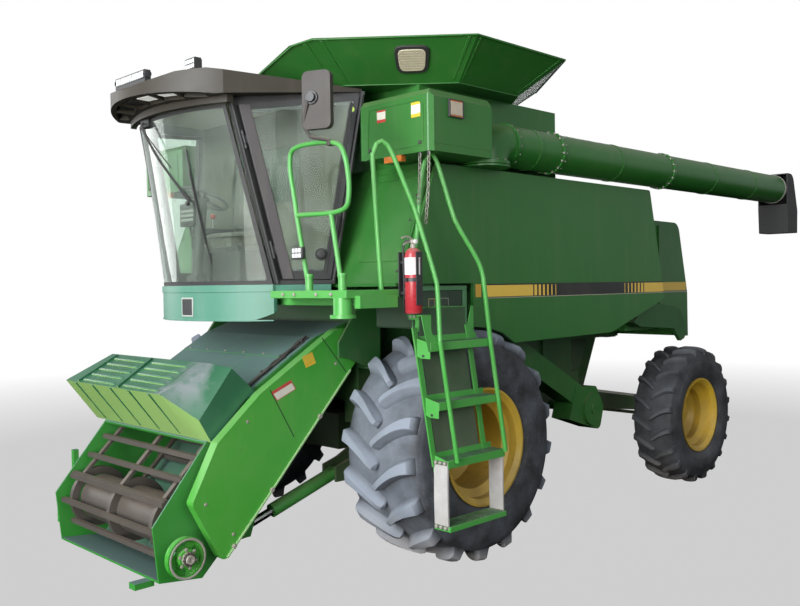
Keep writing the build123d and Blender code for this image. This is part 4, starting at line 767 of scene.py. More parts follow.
# Windshield: one bent pane of green-tinted glass, bonded into a black rubber seal. A pantograph wiper hangs
# from under the brim; its arms carry a blade down the left part of the pane.
def on_pane(s, t, out=0.0):
    """Point of the bent pane: s goes across its two arcs from -1 to 1, t up from the foot to the roof."""
    s, t = np.asarray(s, float), np.asarray(t, float)
    low, high = s * 0.7625, s * 0.4104
    foot = np.stack([1.06 * np.sin(low), -0.45 - 1.06 * np.cos(low), 2.101 + 0 * s], -1)
    head = np.stack([1.524 * np.sin(high), -0.13 - 1.524 * np.cos(high), 3.430 + 0 * s], -1)
    turn = (low + high) / 2
    face = np.stack([np.sin(turn), -np.cos(turn), -0.17 + 0 * s], -1)
    face /= np.linalg.norm(face, axis=-1, keepdims=True)
    return foot + (head - foot) * t[..., None] + face * out


def pane_sheet(s0, s1, t0, t1, low, high, cols=40, rows=2):
    """Closed sheet that follows the pane between two heights above it."""
    s, t = np.meshgrid(np.linspace(s0, s1, cols), np.linspace(t0, t1, rows))
    outer, inner = on_pane(s, t, high), on_pane(s, t, low)
    return outward(skin(np.stack([np.concatenate([outer[k], inner[k, ::-1]]) for k in range(rows)])))


def tinted(name, tint, film):
    """Laminated glass, clear with a green cast, under a thin film of dust in patches and wiped streaks."""
    p = Paint(name)
    cloud, wipe = p.noise(2.2, 4), p.noise(40, 3, (1, 1, 0.15))
    glass = p.node("ShaderNodeBsdfPrincipled", (), {"Base Color": tint, "Roughness": 0.015, "IOR": 1.18,
                                                     "Transmission Weight": 1.0})
    sheen = p.node("ShaderNodeBsdfPrincipled", (), {"Base Color": (0.55, 0.60, 0.55), "Roughness": 0.22})
    share = p.clamp((cloud - 0.40) * 0.30 + (wipe - 0.5) * 0.12 + film)
    both = p.node("ShaderNodeMixShader", (), {0: share, 1: glass, 2: sheen})
    p.node("ShaderNodeOutputMaterial", (), {0: both})
    return p.owner


green_glass = tinted("green_glass", (0.78, 0.90, 0.82), 0.06)
coat(green_glass, "door_glass", "cab_panes")
fit("windshield_pane", pane_sheet(-1, 1, 0, 0.955, -0.008, 0, 72, 24), green_glass, smooth=60,
    stands_for=["windshield"])
seal = [pane_sheet(s0, s1, 0, 0.955, -0.010, 0.003, 4, 24) for s0, s1 in ((-1, -0.955), (0.955, 1))]
seal += [pane_sheet(-1, 1, t0, t1, -0.010, 0.004, 72, 2) for t0, t1 in ((0, 0.022), (0.940, 0.958))]
fit("windshield_seal", together(*seal), black_rubber)
arms = []
for shift in (0, 0.030):
    run = smooth_line([on_pane(-0.46 + shift, 0.945, 0.045), on_pane(-0.40 + shift, 0.90, 0.060),
                       on_pane(-0.10 + shift, 0.72, 0.052), on_pane(0.30 + shift * 0.6, 0.47, 0.034)], 6)
    arms.append(rod(run, 0.0055, 8))
link = smooth_line([on_pane(-0.40, 0.90, 0.058), on_pane(-0.12, 0.78, 0.050), on_pane(0.10, 0.66, 0.035)], 6)
arms.append(rod(link, 0.0045, 8))
nut_cap = lathe([(0, 0), (0, 0.016), (0.020, 0.016), (0.026, 0.010), (0.026, 0)], 16, 1)
arms.append(moved(turned(nut_cap, math.pi), on_pane(0.315, 0.455, 0.040)))
fit("wiper_arms", together(*arms), lamp_shell)
s, t = np.linspace(0.352, 0.445, 12), np.linspace(0.745, 0.115, 12)
blade = rod(on_pane(s, t, 0.016), 0.006, 8)
spine = rod(on_pane(s[2:-2], t[2:-2], 0.028), 0.005, 8)
claws = [slab(on_pane(s[k], t[k], 0.012) - 0.008, on_pane(s[k], t[k], 0.030) + 0.008) for k in (2, 5, 9)]
fit("wiper_blade", together(blade, spine, *claws), black_rubber)
fit("wiper_motor",
    slab(on_pane(-0.46, 0.93, 0.02) - (0.05, 0.02, 0.02), on_pane(-0.46, 0.93, 0.02) + (0.07, 0.03, 0.05)),
    lamp_shell, bevel=0.006)

# Cab door: a glass door in a slim black frame, hung on the raked front post, which wears a grey cover.
# Rubber bulbs seal both posts; the latch handle stands at the rear edge.
coat(lamp_shell, "cab_frame", "cab_door")
POST = np.array((0.765, -1.175, 2.120))
U, V = np.array((0.49467, 0.86908, 0)), np.array((0.02629, -0.01496, 0.99954))
OUT = np.array((0.86868, -0.49445, -0.03025))
FRONT_LEAN, REAR_U, REAR_LEAN = -0.2409, 0.3740, 0.1683


def on_side(u, v, out=0.0):
    """Point of the raked door plane: u level to the rear, v up, and out from the door's face."""
    return POST + U * u + V * v + OUT * out


def door_strip(front, wide, low, high, bottom, top, rear=False):
    """Strip along the door's raked front or rear edge, at an offset from it."""
    lean, start = (REAR_LEAN, REAR_U) if rear else (FRONT_LEAN, 0)
    corners = [(start + lean * v + du, v) for v, du in
               ((bottom, front), (bottom, front + wide), (top, front + wide), (top, front))]
    return on_face(on_side, corners, low, high)


post_grey = enamel("post_grey", (0.060, 0.053, 0.056), (0.10, 0.09, 0.095), DUST, settled=0.2, gloss=0.5)
fit("door_post_cover", door_strip(0.024, 0.078, 0.0003, 0.007, 0.018, 1.255), post_grey, "door", bevel=0.003)
border = [door_strip(-0.070, 0.024, -0.0005, 0.003, 0.062, 1.30, True),
          on_face(on_side, [(0.072, 0.058), (0.300, 0.058), (0.305, 0.078), (0.068, 0.078)], -0.0005, 0.003)]
fit("door_glass_border", together(*border), black_rubber, "door")
front_bulb = [on_side(FRONT_LEAN * v - 0.022, v, 0.002) for v in np.linspace(-0.015, 1.30, 20)]
rear_bulb = [on_side(REAR_U + REAR_LEAN * v + 0.014, v, 0.000) for v in np.linspace(0.0, 1.36, 20)]
bulbs = together(rod(front_bulb, 0.012, 8), rod(rear_bulb, 0.010, 8))
fit("door_seals_left", bulbs, black_rubber)
fit("door_seals_right", flipped(bulbs), black_rubber)
grip = smooth_line([on_side(0.385, 0.330, 0.010), on_side(0.385, 0.335, 0.045), on_side(0.400, 0.400, 0.052),
                    on_side(0.412, 0.462, 0.045), on_side(0.412, 0.467, 0.010)], 5)
fit("door_grip", rod(grip, 0.009, 10), black_rubber, "door")
knob = lathe([(0, 0), (0, 0.030), (0.006, 0.034), (0.020, 0.034), (0.030, 0.026), (0.034, 0.012), (0.034, 0)],
             28)
knob = (knob[0] @ np.array([OUT, U, V]), knob[1])
fit("door_latch", moved(outward(knob), on_side(0.300, 0.195, 0.0)), black_rubber, "door")
fit("door_latch_plate", on_face(on_side, oval((0.300, 0.195), 0.045, 24), -0.002, 0.004), lamp_shell, "door")
lime = enamel("lime_reflector", (0.42, 0.60, 0.05), (0.35, 0.5, 0.08), DUST, gloss=0.25)
fit("door_reflector", on_face(on_side, oval((0.535, 1.250), 0.020, 24), 0.0003, 0.002), lime, "door")

# Mirror: a moulded shell on a bent steel arm, with its glass towards the driver. The arm ends in a round
# boss on the back of the shell, held by three screws.
plum = enamel("mirror_shell", (0.038, 0.031, 0.027), (0.055, 0.046, 0.040), DUST, gloss=0.6)
coat(plum, "mirrors")
HEAD = np.array((1.510, -1.416, 3.270))
HEAD_U, HEAD_N = np.array((0.91355, 0.40674, 0)), np.array((0.40674, -0.91355, 0))


def on_head(a, z, out=0.0):
    """Point of the mirror's back: a level across it, z up, both from its middle, and out from the shell."""
    return HEAD + HEAD_U * a + np.array((0, 0, z)) + HEAD_N * (0.024 + out)


silver = enamel("mirror_silver", (0.75, 0.77, 0.78), (0.7, 0.7, 0.7), DUST, gloss=0.06)
glass = on_face(on_head, oval((0, 0), (0.078, 0.165), 40, 0.3), -0.0515, -0.048)
fit("mirror_glass", glass, silver, bevel=0.001)
BOSS_A, BOSS_Z = -0.030, 0.015
boss = [on_face(on_head, oval((BOSS_A, BOSS_Z), r, 20), 0, h) for r, h in ((0.044, 0.012), (0.030, 0.030))]
for angle in (0.5, 2.6, 4.7):
    screw_at = (BOSS_A + 0.034 * math.cos(angle), BOSS_Z + 0.034 * math.sin(angle))
    boss.append(on_face(on_head, oval(screw_at, 0.005, 8), 0.012, 0.016))
fit("mirror_boss", together(*boss), lamp_shell, bevel=0.002)

# Cab skirt and inside of the cab: the skirt is a rolled band with a step along its top edge, chalked by
# sun and washing; its small upright plate is bare. Inside stand the column, console and levers.
skirt_green = enamel("skirt_green", (0.045, 0.190, 0.120), (0.110, 0.250, 0.200), (0.30, 0.30, 0.24),
                     fade=0.7, gloss=0.45)
coat(skirt_green, "cab_skirt")
SKIRT_RADIUS, SKIRT_CENTRE = 1.072, -0.450


def on_skirt(angle, z, out=0.0):
    """Point of the skirt's curved face: an angle about the cab's centre line, a height, and out from it."""
    reach = SKIRT_RADIUS + out
    return np.array((reach * math.sin(angle), SKIRT_CENTRE - reach * math.cos(angle), z))


bands = []
for low, high, thick in ((2.048, 2.100, 0.007), (1.836, 1.846, 0.004)):
    section = ((low, 0.0005), (low, thick), (high, thick), (high, 0.0005))
    rows = [[on_skirt(angle, z, out) for z, out in section] for angle in np.linspace(-0.765, 0.765, 60)]
    bands.append(outward(skin(np.array(rows))))
fit("skirt_bands", together(*bands), skirt_green, bevel=0.002)
plate_frame = enamel("plate_frame", (0.36, 0.40, 0.36), (0.4, 0.42, 0.4), DUST, gloss=0.3)
plate = on_face(on_skirt, strip_of(-0.004, 1.868, 0.132, 2.012), 0.0005, 0.006)
fit("skirt_plate", plate, plate_frame, bevel=0.003)
field = on_face(on_skirt, strip_of(0.008, 1.880, 0.120, 2.000), 0.005, 0.0072)
fit("skirt_plate_field", field, lamp_shell, bevel=0.001)
interior = enamel("cab_plastic", (0.030, 0.027, 0.024), (0.05, 0.045, 0.04), (0.14, 0.12, 0.09), gloss=0.6)
coat(interior, "cab_floor", "seat_base", "cab_console", "steering_column")
wall_trim = enamel("cab_wall_trim", (0.10, 0.095, 0.065), (0.14, 0.13, 0.09), DUST, gloss=0.8)
coat(wall_trim, "cab_rear_wall")
ball = lathe([(-0.022 * math.cos(t), 0.022 * math.sin(t)) for t in np.linspace(0, math.pi, 10)], 18, 2)
stem = rod([(0, 0, -0.10), (0, 0, -0.02)], 0.006, 8)
red = enamel("red_knob", (0.48, 0.022, 0.015), (0.5, 0.06, 0.05), DUST, gloss=0.28)
fit("lever_knobs", together(*(moved(ball, (-0.30, y, 2.665)) for y in (-1.16, -1.05))), red)
fit("lever_stems", together(*(moved(stem, (-0.30, y, 2.660)) for y in (-1.16, -1.05))), plated)
fit("console_trim", slab((-0.415, -1.175, 2.560), (-0.265, -0.885, 2.566)), wall_trim, bevel=0.003)
keys = [slab((-0.455 + 0.032 * i, -1.2515, 2.62 + 0.035 * j), (-0.433 + 0.032 * i, -1.249, 2.642 + 0.035 * j))
        for i in range(6) for j in range(3)]
fit("console_keys", together(*keys), plated, bevel=0.002)

# Seat: foam cushion and backrest in woven cloth, swollen against a piped seam. The cloth is simulated under
# a little pressure, and no point of it may move further than 22 mm.
def weave(name, colour, pale):
    """Upholstery cloth: crossed threads about 3 mm apart, worn pale in patches."""
    p = Paint(name)
    threads = p.sum("SINE", p.at(0) * 2100.0) * p.sum("SINE", p.at(2) * 2100.0 + p.at(1) * 2100.0)
    cloud = p.noise(9, 4)
    tint = p.mix(p.clamp((cloud - 0.42) * 2.2) * 0.6, colour, pale)
    return p.finish({"Base Color": p.mix(p.clamp(threads) * 0.35, tint, (0.02, 0.018, 0.015)),
                     "Roughness": 0.9,
                     "Normal": p.relief(threads * 0.5 + cloud, 0.0015, 0.5), "Sheen Weight": 0.3})


seat_cloth = weave("seat_cloth", (0.120, 0.105, 0.080), (0.200, 0.180, 0.140))


def pad_shape(width, deep, high, dome, size=14):
    """Crowned pad: a rectangle drawn in at its corners, whose top rises by dome (1-a^4)(1-b^4) above its seam
    and whose underside sinks by a fifth of that."""
    a, b = np.meshgrid(np.linspace(-1, 1, size), np.linspace(-1, 1, size), indexing="ij")
    rise = (1 - a ** 4) * (1 - b ** 4)
    pinch = 1 - 0.035 * (a * b) ** 2
    x, y = a * width / 2 * pinch, b * deep / 2 * pinch
    top = np.stack([x, y, high * 0.5 + dome * rise], -1).reshape(-1, 3)
    low = np.stack([x, y, -high * 0.5 - dome * 0.2 * rise], -1).reshape(-1, 3)
    points = np.vstack([top, low])
    n = size
    cell = np.arange(n * n).reshape(n, n)
    quads = np.stack([cell[:-1, :-1], cell[1:, :-1], cell[1:, 1:], cell[:-1, 1:]], -1).reshape(-1, 4)
    rim = np.concatenate([cell[:-1, 0], cell[-1, :-1], cell[:0:-1, -1], cell[0, :0:-1]])
    wall = np.stack([rim, np.roll(rim, -1), np.roll(rim, -1) + n * n, rim + n * n], -1)
    return outward((points, [quads, quads[:, ::-1] + n * n, wall]))


def apply_all(made):
    """Bakes a piece's modifiers into its mesh, keeping its finish and its body."""
    graph = bpy.context.evaluated_depsgraph_get()
    baked = bpy.data.meshes.new_from_object(made.evaluated_get(graph))
    made.modifiers.clear()
    made.data = baked
    if not baked.materials:
        baked.materials.append(seat_cloth)


def stuffed(name, shape, place, lean, cap):
    """Cushion: the shape is remeshed and blown up as cloth, no point moving further than the cap."""
    points = turned(shape, lean)[0] + place
    made = fit(name, (points, shape[1]), seat_cloth)
    mesh = made.modifiers.new("grain", "REMESH")
    mesh.mode, mesh.voxel_size = "VOXEL", 0.006
    apply_all(made)
    start = np.empty(len(made.data.vertices) * 3)
    made.data.vertices.foreach_get("co", start)
    blown = made.modifiers.new("air", "CLOTH")
    blown.settings.use_pressure, blown.settings.uniform_pressure_force = True, 4.0
    blown.settings.effector_weights.gravity = 0
    blown.settings.quality = 4
    for f in range(1, 21):
        bpy.context.scene.frame_set(f)
    apply_all(made)
    bpy.context.scene.frame_set(1)
    end = np.empty_like(start)
    made.data.vertices.foreach_get("co", end)
    move = (end - start).reshape(-1, 3)
    far = np.linalg.norm(move, axis=1, keepdims=True)
    end = start.reshape(-1, 3) + move * np.minimum(1, cap / np.maximum(far, 1e-9))
    made.data.vertices.foreach_set("co", end.ravel())
    made.data.update()
    made.data.shade_smooth()
    smooth = made.modifiers.new("smooth", "SUBSURF")
    smooth.levels = smooth.render_levels = 1
    return made


CUSHION, BACKREST = (0, -1.062, 2.452), (0, -0.8745, 2.790)
CUSHION_LEAN, BACKREST_LEAN = math.radians(3), math.radians(83.7)
SWELL = 0.022
cushion = stuffed("seat_cushion", pad_shape(0.440, 0.330, 0.062, 0.012), CUSHION, CUSHION_LEAN, SWELL)
stuffed("seat_backrest", pad_shape(0.420, 0.500, 0.045, 0.010), BACKREST, BACKREST_LEAN, SWELL)
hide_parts("seat_pad")
piping = []
for place, spin, wide, deep in ((CUSHION, CUSHION_LEAN, 0.440, 0.330),
                                (BACKREST, BACKREST_LEAN, 0.420, 0.500)):
    ring = np.insert(oval((0, 0), (wide * 0.492, deep * 0.492), 60, 0.25), 2, 0.026, axis=1)
    piping.append(moved(turned(rod(ring, 0.0045, 6, closed=True), spin), place))
fit("seat_piping", together(*piping), interior)

# Platform and rails: deck of raised-pattern plate on folded beams, and tube rails in green paint, painted
# brighter than the body's green, and paler in its faded patches, for sunlight.
# A small square work lamp is clamped to the guard rail's front leg.
# This green is a sunlit copy of the machine's paint: painted sunlight, with fading in patches.
sunlit_rail_green = enamel("sunlit_rail_green", (0.052, 0.300, 0.050), (0.13, 0.36, 0.10), DUST, fade=0.5, settled=0.35,
                    gloss=0.34, chips=(0.16, 0.15, 0.12))
coat(sunlit_rail_green, "platform", "ladder", "lift_barrel_left", "lift_barrel_right")


def bent(points, reach=0.075):
    """Centre line of a bent tube: each corner gives way to a bow that starts at most `reach` before it."""
    p, out = np.asarray(points, float), [points[0]]
    for before, corner, after in zip(p, p[1:], p[2:]):
        for other in (before, after):
            run = other - corner
            out.append(corner + run * min(reach / np.linalg.norm(run), 0.45))
    return smooth_line(np.array([*out, points[-1]]), 6)


RAIL_RADIUS = 0.0162
rails = [[(1.340, -1.372, 2.052), (1.229, -1.380, 2.559), (1.145, -1.380, 3.010), (1.712, -1.380, 2.988),
          (1.770, -1.380, 2.556), (1.242, -1.380, 2.556)],
         [(1.580, -1.380, 2.556), (1.672, -1.372, 2.052)],
         [(1.700, -1.060, 2.052), (1.700, -1.122, 2.900), (1.703, -1.108, 2.980), (1.716, -1.076, 3.022),
          (1.734, -1.040, 3.016), (1.750, -1.008, 2.972), (1.830, -0.870, 2.580), (1.930, -0.772, 2.090),
          (1.950, -0.770, 1.690), (1.950, -0.615, 0.885)],
         [(1.725, -0.836, 2.058), (1.735, -0.760, 2.390), (1.738, -0.698, 2.860), (1.746, -0.655, 2.972),
          (1.764, -0.600, 2.970), (1.850, -0.500, 2.520), (1.940, -0.325, 2.195), (1.950, -0.310, 2.040),
          (1.950, -0.250, 1.660), (1.950, -0.100, 0.890)]]
tubes = []
for k, line in enumerate(rails):
    run = bent(line, 0.10 if k == 0 else 0.060) if len(line) > 2 else line
    tubes.append(rod(run, RAIL_RADIUS, 18))
sockets = [rod([(x, -1.372, 2.050), (x, -1.372, 2.140)], 0.026, 20) for x in (1.340, 1.672)]
fit("handrail_tubes", together(*tubes, *sockets), sunlit_rail_green, smooth=50, stands_for=["handrails"])


def raised_plate(name, paint, worn):
    """Tread plate: short raised bars that lie left and right by turns on a 26 mm grid, bright on top. Cells
    are counted from 40 cells away, so that no number is below 0."""
    p = Paint(name)
    x, y = p.at(0) * 38.0, p.at(1) * 38.0
    a, b = p.sum("FRACT", x + 40.0) - 0.5, p.sum("FRACT", y + 40.0) - 0.5
    odd = p.sum("MODULO", p.sum("FLOOR", x + 40.0) + p.sum("FLOOR", y + 40.0), 2.0)
    along, across = (a + b) * 0.707, (a - b) * 0.707
    one = (abs(along) < 0.34) * (abs(across) < 0.11)
    two = (abs(across) < 0.34) * (abs(along) < 0.11)
    bars = one * (1 - odd) + two * odd
    rub = p.noise(12, 4)
    shade = p.mix(p.clamp((rub - 0.42) * 3) * p.clamp(bars * 0.8 + 0.1), paint, worn)
    return p.finish({"Base Color": shade, "Roughness": 0.62 - bars * 0.2,
                     "Normal": p.relief(bars, 0.003, 0.9)})


grip_plate = raised_plate("grip_plate", (0.045, 0.130, 0.050), (0.50, 0.53, 0.50))
deck = [(0.965, -1.395), (1.715, -1.395), (1.735, -1.37), (1.735, -0.822), (0.995, -0.822), (0.812, -1.143)]
fit("deck_plate", prism(deck, 2, 2.050, 2.0535), grip_plate)
edges = slabs(((0.955, -1.404, 2.006), (1.742, -1.400, 2.056)),
              ((1.740, -1.404, 2.006), (1.744, -0.815, 2.056)))
fit("deck_edges", edges, sunlit_rail_green, bevel=0.0015)
side_bolt = flipped(lathe([(0, 0), (0, 0.013), (0.008, 0.013), (0.011, 0.008), (0.011, 0)], 6, 1), 1)
heads = [moved(side_bolt, (x, -1.404, 2.030)) for x in (1.10, 1.22, 1.45, 1.60)]
heads += [moved(side_bolt, (x, -0.812, z)) for x in (1.722, 1.760) for z in (1.872, 1.910)]
fit("deck_bolts", together(*heads), plated)
collar = lathe([(0, 0.0165), (0, 0.030), (0.012, 0.032), (0.024, 0.030), (0.024, 0.0165)], 20, 2)
collars = [moved(collar, (x, -1.372, 2.140)) for x in (1.340, 1.672)]
fit("rail_collars", together(*collars), sunlit_rail_green, smooth=40)
case = slabs(((1.258, -1.452, 2.262), (1.368, -1.420, 2.342)),
             ((1.272, -1.424, 2.285), (1.300, -1.392, 2.318)))
fit("rail_lamp_case", case, lamp_shell, bevel=0.006)
fit("rail_lamp_cells", slab((1.265, -1.4545, 2.268), (1.361, -1.4515, 2.336)),
    cells("rail_lamp_face", 3, 2, (1.265, 2.268), (0.096, 0.068)), bevel=0.001)

# Ladder: folded treads on thin flat strings, tacked to the rail tubes outside and backed by sheets that keep
# boots off the tyre. The lowest step hangs on two flaps of pale rubber belting, riveted to it.
TREADS = [(1.700, -0.845, -0.236), (1.300, -0.770, -0.166), (0.900, -0.690, -0.086), (0.458, -0.690, -0.096)]
tops, folds, gussets, strings = [], [], [], []
for z, y0, y1 in TREADS:
    outer = 1.930 if z > 0.5 else 1.944
    deep = 0.052 if z > 0.5 else 0.034
    tops.append(slab((1.802, y0 + 0.002, z - 0.003), (outer - 0.001, y1 - 0.002, z + 0.001)))
    folds.append(slab((outer - 0.002, y0, z - deep), (outer + 0.0035, y1, z + 0.002)))
    folds.append(slab((1.800, y0, z - deep), (1.8045, y1, z + (0.040 if z > 0.5 else 0.002))))
    folds += [slab((1.802, y, z - deep), (outer, y + 0.004, z + 0.001)) for y in (y0, y1 - 0.004)]
    if z > 0.5:
        corner = [(1.800, z + 0.030), (1.800, z - 0.088), (1.846, z - 0.104), (1.930, z - 0.104), (1.930, z)]
        gussets.append(prism(corner, 1, y0 - 0.004, y0))
for a, b in ((-0.868, -0.686), (-0.338, -0.156)):
    string = [(a - 0.022, 1.800), (a + 0.022, 1.800), (b + 0.022, 0.850), (b - 0.022, 0.850)]
    strings.append(prism(string, 0, 1.800, 1.8125))
quarter = np.linspace(0, math.pi / 2, 9)
bow = [(-0.760 - 0.075 * math.cos(t), 1.800 - 0.075 * math.sin(t)) for t in quarter]
wing = [(-0.928, 1.885), (-0.835, 1.885), *bow, (-0.740, 1.725), (-0.740, 1.642), (-0.862, 1.642),
        (-0.885, 1.720)]
gussets.append(prism(wing, 0, 1.926, 1.931))
gussets.append(slab((1.802, -0.928, 1.881), (1.931, -0.835, 1.886)))
rear_wing = [(-0.330, 1.800), (-0.290, 1.930), (-0.262, 1.930), (-0.262, 1.648), (-0.312, 1.648)]
gussets.append(prism(rear_wing, 0, 1.800, 1.805))
fit("ladder_treads", together(*folds, *strings), sunlit_rail_green, bevel=0.0012, stands_for=["ladder"])
fit("ladder_grips", together(*tops), grip_plate)
fit("ladder_gussets", together(*gussets), sunlit_rail_green, bevel=0.0015)
slots = [prism(oval((1.868, z - 0.086), (0.013, 0.009)), 1, y0 - 0.0052, y0 - 0.003)
         for z, y0, y1 in TREADS[:3]]
fit("ladder_gusset_holes", together(*slots), black_rubber)
SHEET_WIDTH = 0.452


def sheet_front(z):
    """Front edge of the sheets behind the treads at a height. It leans as the front string does."""
    return -0.865 + (1.790 - z) * 0.1907 + 0.034


sheets = []
for high, low in ((1.672, 1.318), (1.262, 0.932)):
    panel = [(sheet_front(high), high), (sheet_front(low), low), (sheet_front(low) + SHEET_WIDTH, low),
             (sheet_front(high) + SHEET_WIDTH, high)]
    sheets.append(prism(panel, 0, 1.7995, 1.8025))
sheets.append(slab((1.7945, -0.806, 1.776), (1.7975, -0.345, 1.926)))
sheets.append(slab((1.7945, -0.806, 1.672), (1.8020, -0.345, 1.780)))
# The back sheets' dark green is painted shade: a shaded copy of the ladder's green. The flap clamps share it.
shaded_panel_green = enamel("ladder_panel_green", (0.030, 0.075, 0.032), (0.06, 0.11, 0.06), (0.20, 0.19, 0.15),
                     settled=0.2, low=0.25, gloss=0.5, high=1.9)
fit("ladder_back_sheets", together(*sheets), shaded_panel_green, bevel=0.001)
belting = Paint("rubber_belting")
smear = belting.noise(10, 4)
cord_lines = belting.sum("SINE", belting.at(2) * 900.0) * 0.3
pale = belting.mix(belting.clamp((smear - 0.40) * 2.4), (0.36, 0.345, 0.335), (0.46, 0.445, 0.435))
low_dirt = belting.clamp((0.56 - belting.at(2)) * 5 + (smear - 0.5))
pale = belting.mix(low_dirt * 0.5, pale, (0.26, 0.23, 0.19))
belting = belting.finish({"Base Color": pale, "Roughness": 0.75,
                          "Normal": belting.relief(cord_lines + smear, 0.001, 0.5)})
flaps, rivets, clamps = [], [], []
FLAP_FOOT, FLAP_LENGTH, FLAP_THICK = 0.436, 0.462, 0.016
heights = np.linspace(FLAP_FOOT, FLAP_FOOT + FLAP_LENGTH, 14)
bulge = -0.004 * np.sin((heights - FLAP_FOOT) / FLAP_LENGTH * math.pi)
for y0 in (-0.694, -0.112):
    rows = [[(1.806, y, h), (1.930, y, h), (1.930, y + FLAP_THICK, h), (1.806, y + FLAP_THICK, h)]
            for h, y in zip(heights, y0 + bulge)]
    flaps.append(outward(skin(np.array(rows))))
    for h in (0.450, 0.884):
        clamps.append(slab((1.808, y0 - 0.003, h - 0.014), (1.928, y0 - 0.0002, h + 0.014)))
        rivets += [moved(side_bolt, (x, y0 - 0.003, h)) for x in (1.826, 1.868, 1.910)]
fit("ladder_flaps", together(*flaps), belting, bevel=0.002)
fit("flap_clamps", together(*clamps), shaded_panel_green, bevel=0.001)
fit("flap_rivets", together(*rivets), plated)

# Fire extinguisher: a red steel bottle strapped to the handrail, its label left bare. Valve and levers are
# plated, the gauge is white, and the short hose is moulded rubber.
enamel_red = enamel("extinguisher_red", (0.36, 0.020, 0.030), (0.42, 0.085, 0.095), (0.36, 0.30, 0.25),
                    gloss=0.28)
BOTTLE_X, BOTTLE_Y = 1.842, -0.905
BOTTLE = (BOTTLE_X, BOTTLE_Y, 0)
shoulder = [(1.896, 0), (1.896, 0.050), (1.906, 0.0565), (2.270, 0.0565), (2.300, 0.050), (2.322, 0.030),
            (2.330, 0)]
fit("bottle_shell", moved(lathe(shoulder, 56, 2), BOTTLE), enamel_red, smooth=50, stands_for=["extinguisher"])
turn = np.linspace(-2.6, 1.0, 40)
label = [[(BOTTLE_X + r * math.cos(t), BOTTLE_Y + r * math.sin(t), z) for t in turn]
         for r, z in ((0.0566, 2.150), (0.0574, 2.150), (0.0574, 2.262), (0.0566, 2.262))]
p = Paint("bare_label")
smudge = p.noise(26, 4)
paper = p.mix(p.clamp((smudge - 0.5) * 3), (0.66, 0.60, 0.60), (0.52, 0.36, 0.36))
paper = p.finish({"Base Color": paper, "Roughness": smudge * 0.3 + 0.3})
fit("bottle_label", outward(skin(np.array(label), round_cols=False, round_rows=True, caps=False)), paper)
strap = lathe([(0, 0.0566), (0, 0.0600), (0.024, 0.0600), (0.024, 0.0566)], 48, 2)
buckle = slab((1.828, -0.978, 2.108), (1.852, -0.958, 2.126))
fit("bottle_straps", together(moved(strap, (BOTTLE_X, BOTTLE_Y, 2.105)), buckle), lamp_shell)
cradle = slabs(((1.893, -0.935, 1.950), (1.899, -0.875, 2.300)),
               ((1.788, -0.960, 1.892), (1.896, -0.850, 1.897)),
               ((1.740, -0.945, 2.012), (1.748, -0.865, 2.300)),
               ((1.745, -0.930, 2.020), (1.800, -0.880, 2.040)),
               ((1.745, -0.930, 2.222), (1.800, -0.880, 2.242)),
               ((1.782, -0.940, 1.893), (1.788, -0.870, 2.250)))
fit("bottle_cradle", cradle, lamp_shell, bevel=0.002)
valve = lathe([(2.325, 0), (2.325, 0.018), (2.352, 0.018), (2.356, 0.022), (2.378, 0.022), (2.384, 0.012),
               (2.384, 0)], 20, 2)
fit("bottle_valve", moved(valve, BOTTLE), plated)
lever = [rod(smooth_line([(1.842, -0.890, 2.372), (1.838, -0.950, 2.398), (1.834, -1.000, 2.388)], 5), 0.007,
             8),
         rod(smooth_line([(1.842, -0.895, 2.352), (1.838, -0.945, 2.362), (1.836, -0.985, 2.345)], 5), 0.006,
             8)]
fit("bottle_levers", together(*lever), plated)
gauge = moved(lathe([(0, 0), (0, 0.016), (0.012, 0.016), (0.014, 0.013), (0.014, 0)], 20),
              (1.862, -0.905, 2.366))
dial_white = enamel("dial_white", (0.7, 0.7, 0.66), (0.6, 0.6, 0.55), DUST, gloss=0.2)
fit("bottle_gauge", gauge, dial_white)
hose = smooth_line([(1.826, -0.912, 2.366), (1.800, -0.925, 2.372), (1.783, -0.935, 2.330),
                    (1.781, -0.934, 2.220),
                    (1.782, -0.930, 2.100), (1.784, -0.925, 2.010)], 6)
fit("bottle_hose", rod(hose, np.r_[np.full(len(hose) - 5, 0.0075), np.full(5, 0.010)], 10), black_rubber)

# Service box: a dark inset door in a pale green frame under the shield's front corner. A seam and a latch
# show on it, and its three plates are bare.
box_green = enamel("service_box_green", (0.030, 0.060, 0.034), (0.05, 0.09, 0.055), DUST, gloss=0.5)
coat(box_green, "service_box")
frame_green = enamel("service_frame_green", (0.085, 0.245, 0.105), (0.13, 0.30, 0.15), DUST, fade=0.6)
door_frame = slabs(((1.5595, -0.640, 2.040), (1.570, -0.062, 2.074)),
                   ((1.5595, -0.105, 1.778), (1.570, -0.062, 2.040)),
                   ((1.5595, -0.640, 1.778), (1.567, -0.062, 1.800)),
                   ((1.5595, -0.640, 1.800), (1.567, -0.618, 2.040)))
fit("service_box_frame", door_frame, frame_green, bevel=0.003)
seam = slabs(((1.5598, -0.245, 1.812), (1.5625, -0.241, 2.030)),
             ((1.5598, -0.200, 1.860), (1.572, -0.170, 1.900)))
fit("service_box_seam", seam, lamp_shell, bevel=0.002)
blank_plate("service_plate_yellow", slab((1.5600, -0.590, 1.845), (1.5615, -0.540, 1.995)), PAPER, YELLOW,
            (-0.565, 1.955), (0.1, 0.030), axis=0)
blank_plate("service_plate_dark", slab((1.5600, -0.470, 1.890), (1.5615, -0.400, 1.985)), (0.05, 0.06, 0.05),
            (0.30, 0.27, 0.12), (-0.435, 1.9375), (0.028, 0.040), axis=0)
blank_plate("service_plate_outline", slab((1.5600, -0.370, 1.905), (1.5615, -0.255, 1.985)),
            (0.032, 0.055, 0.035),
            (0.28, 0.32, 0.26), (-0.3125, 1.945), (0.052, 0.035), axis=0)
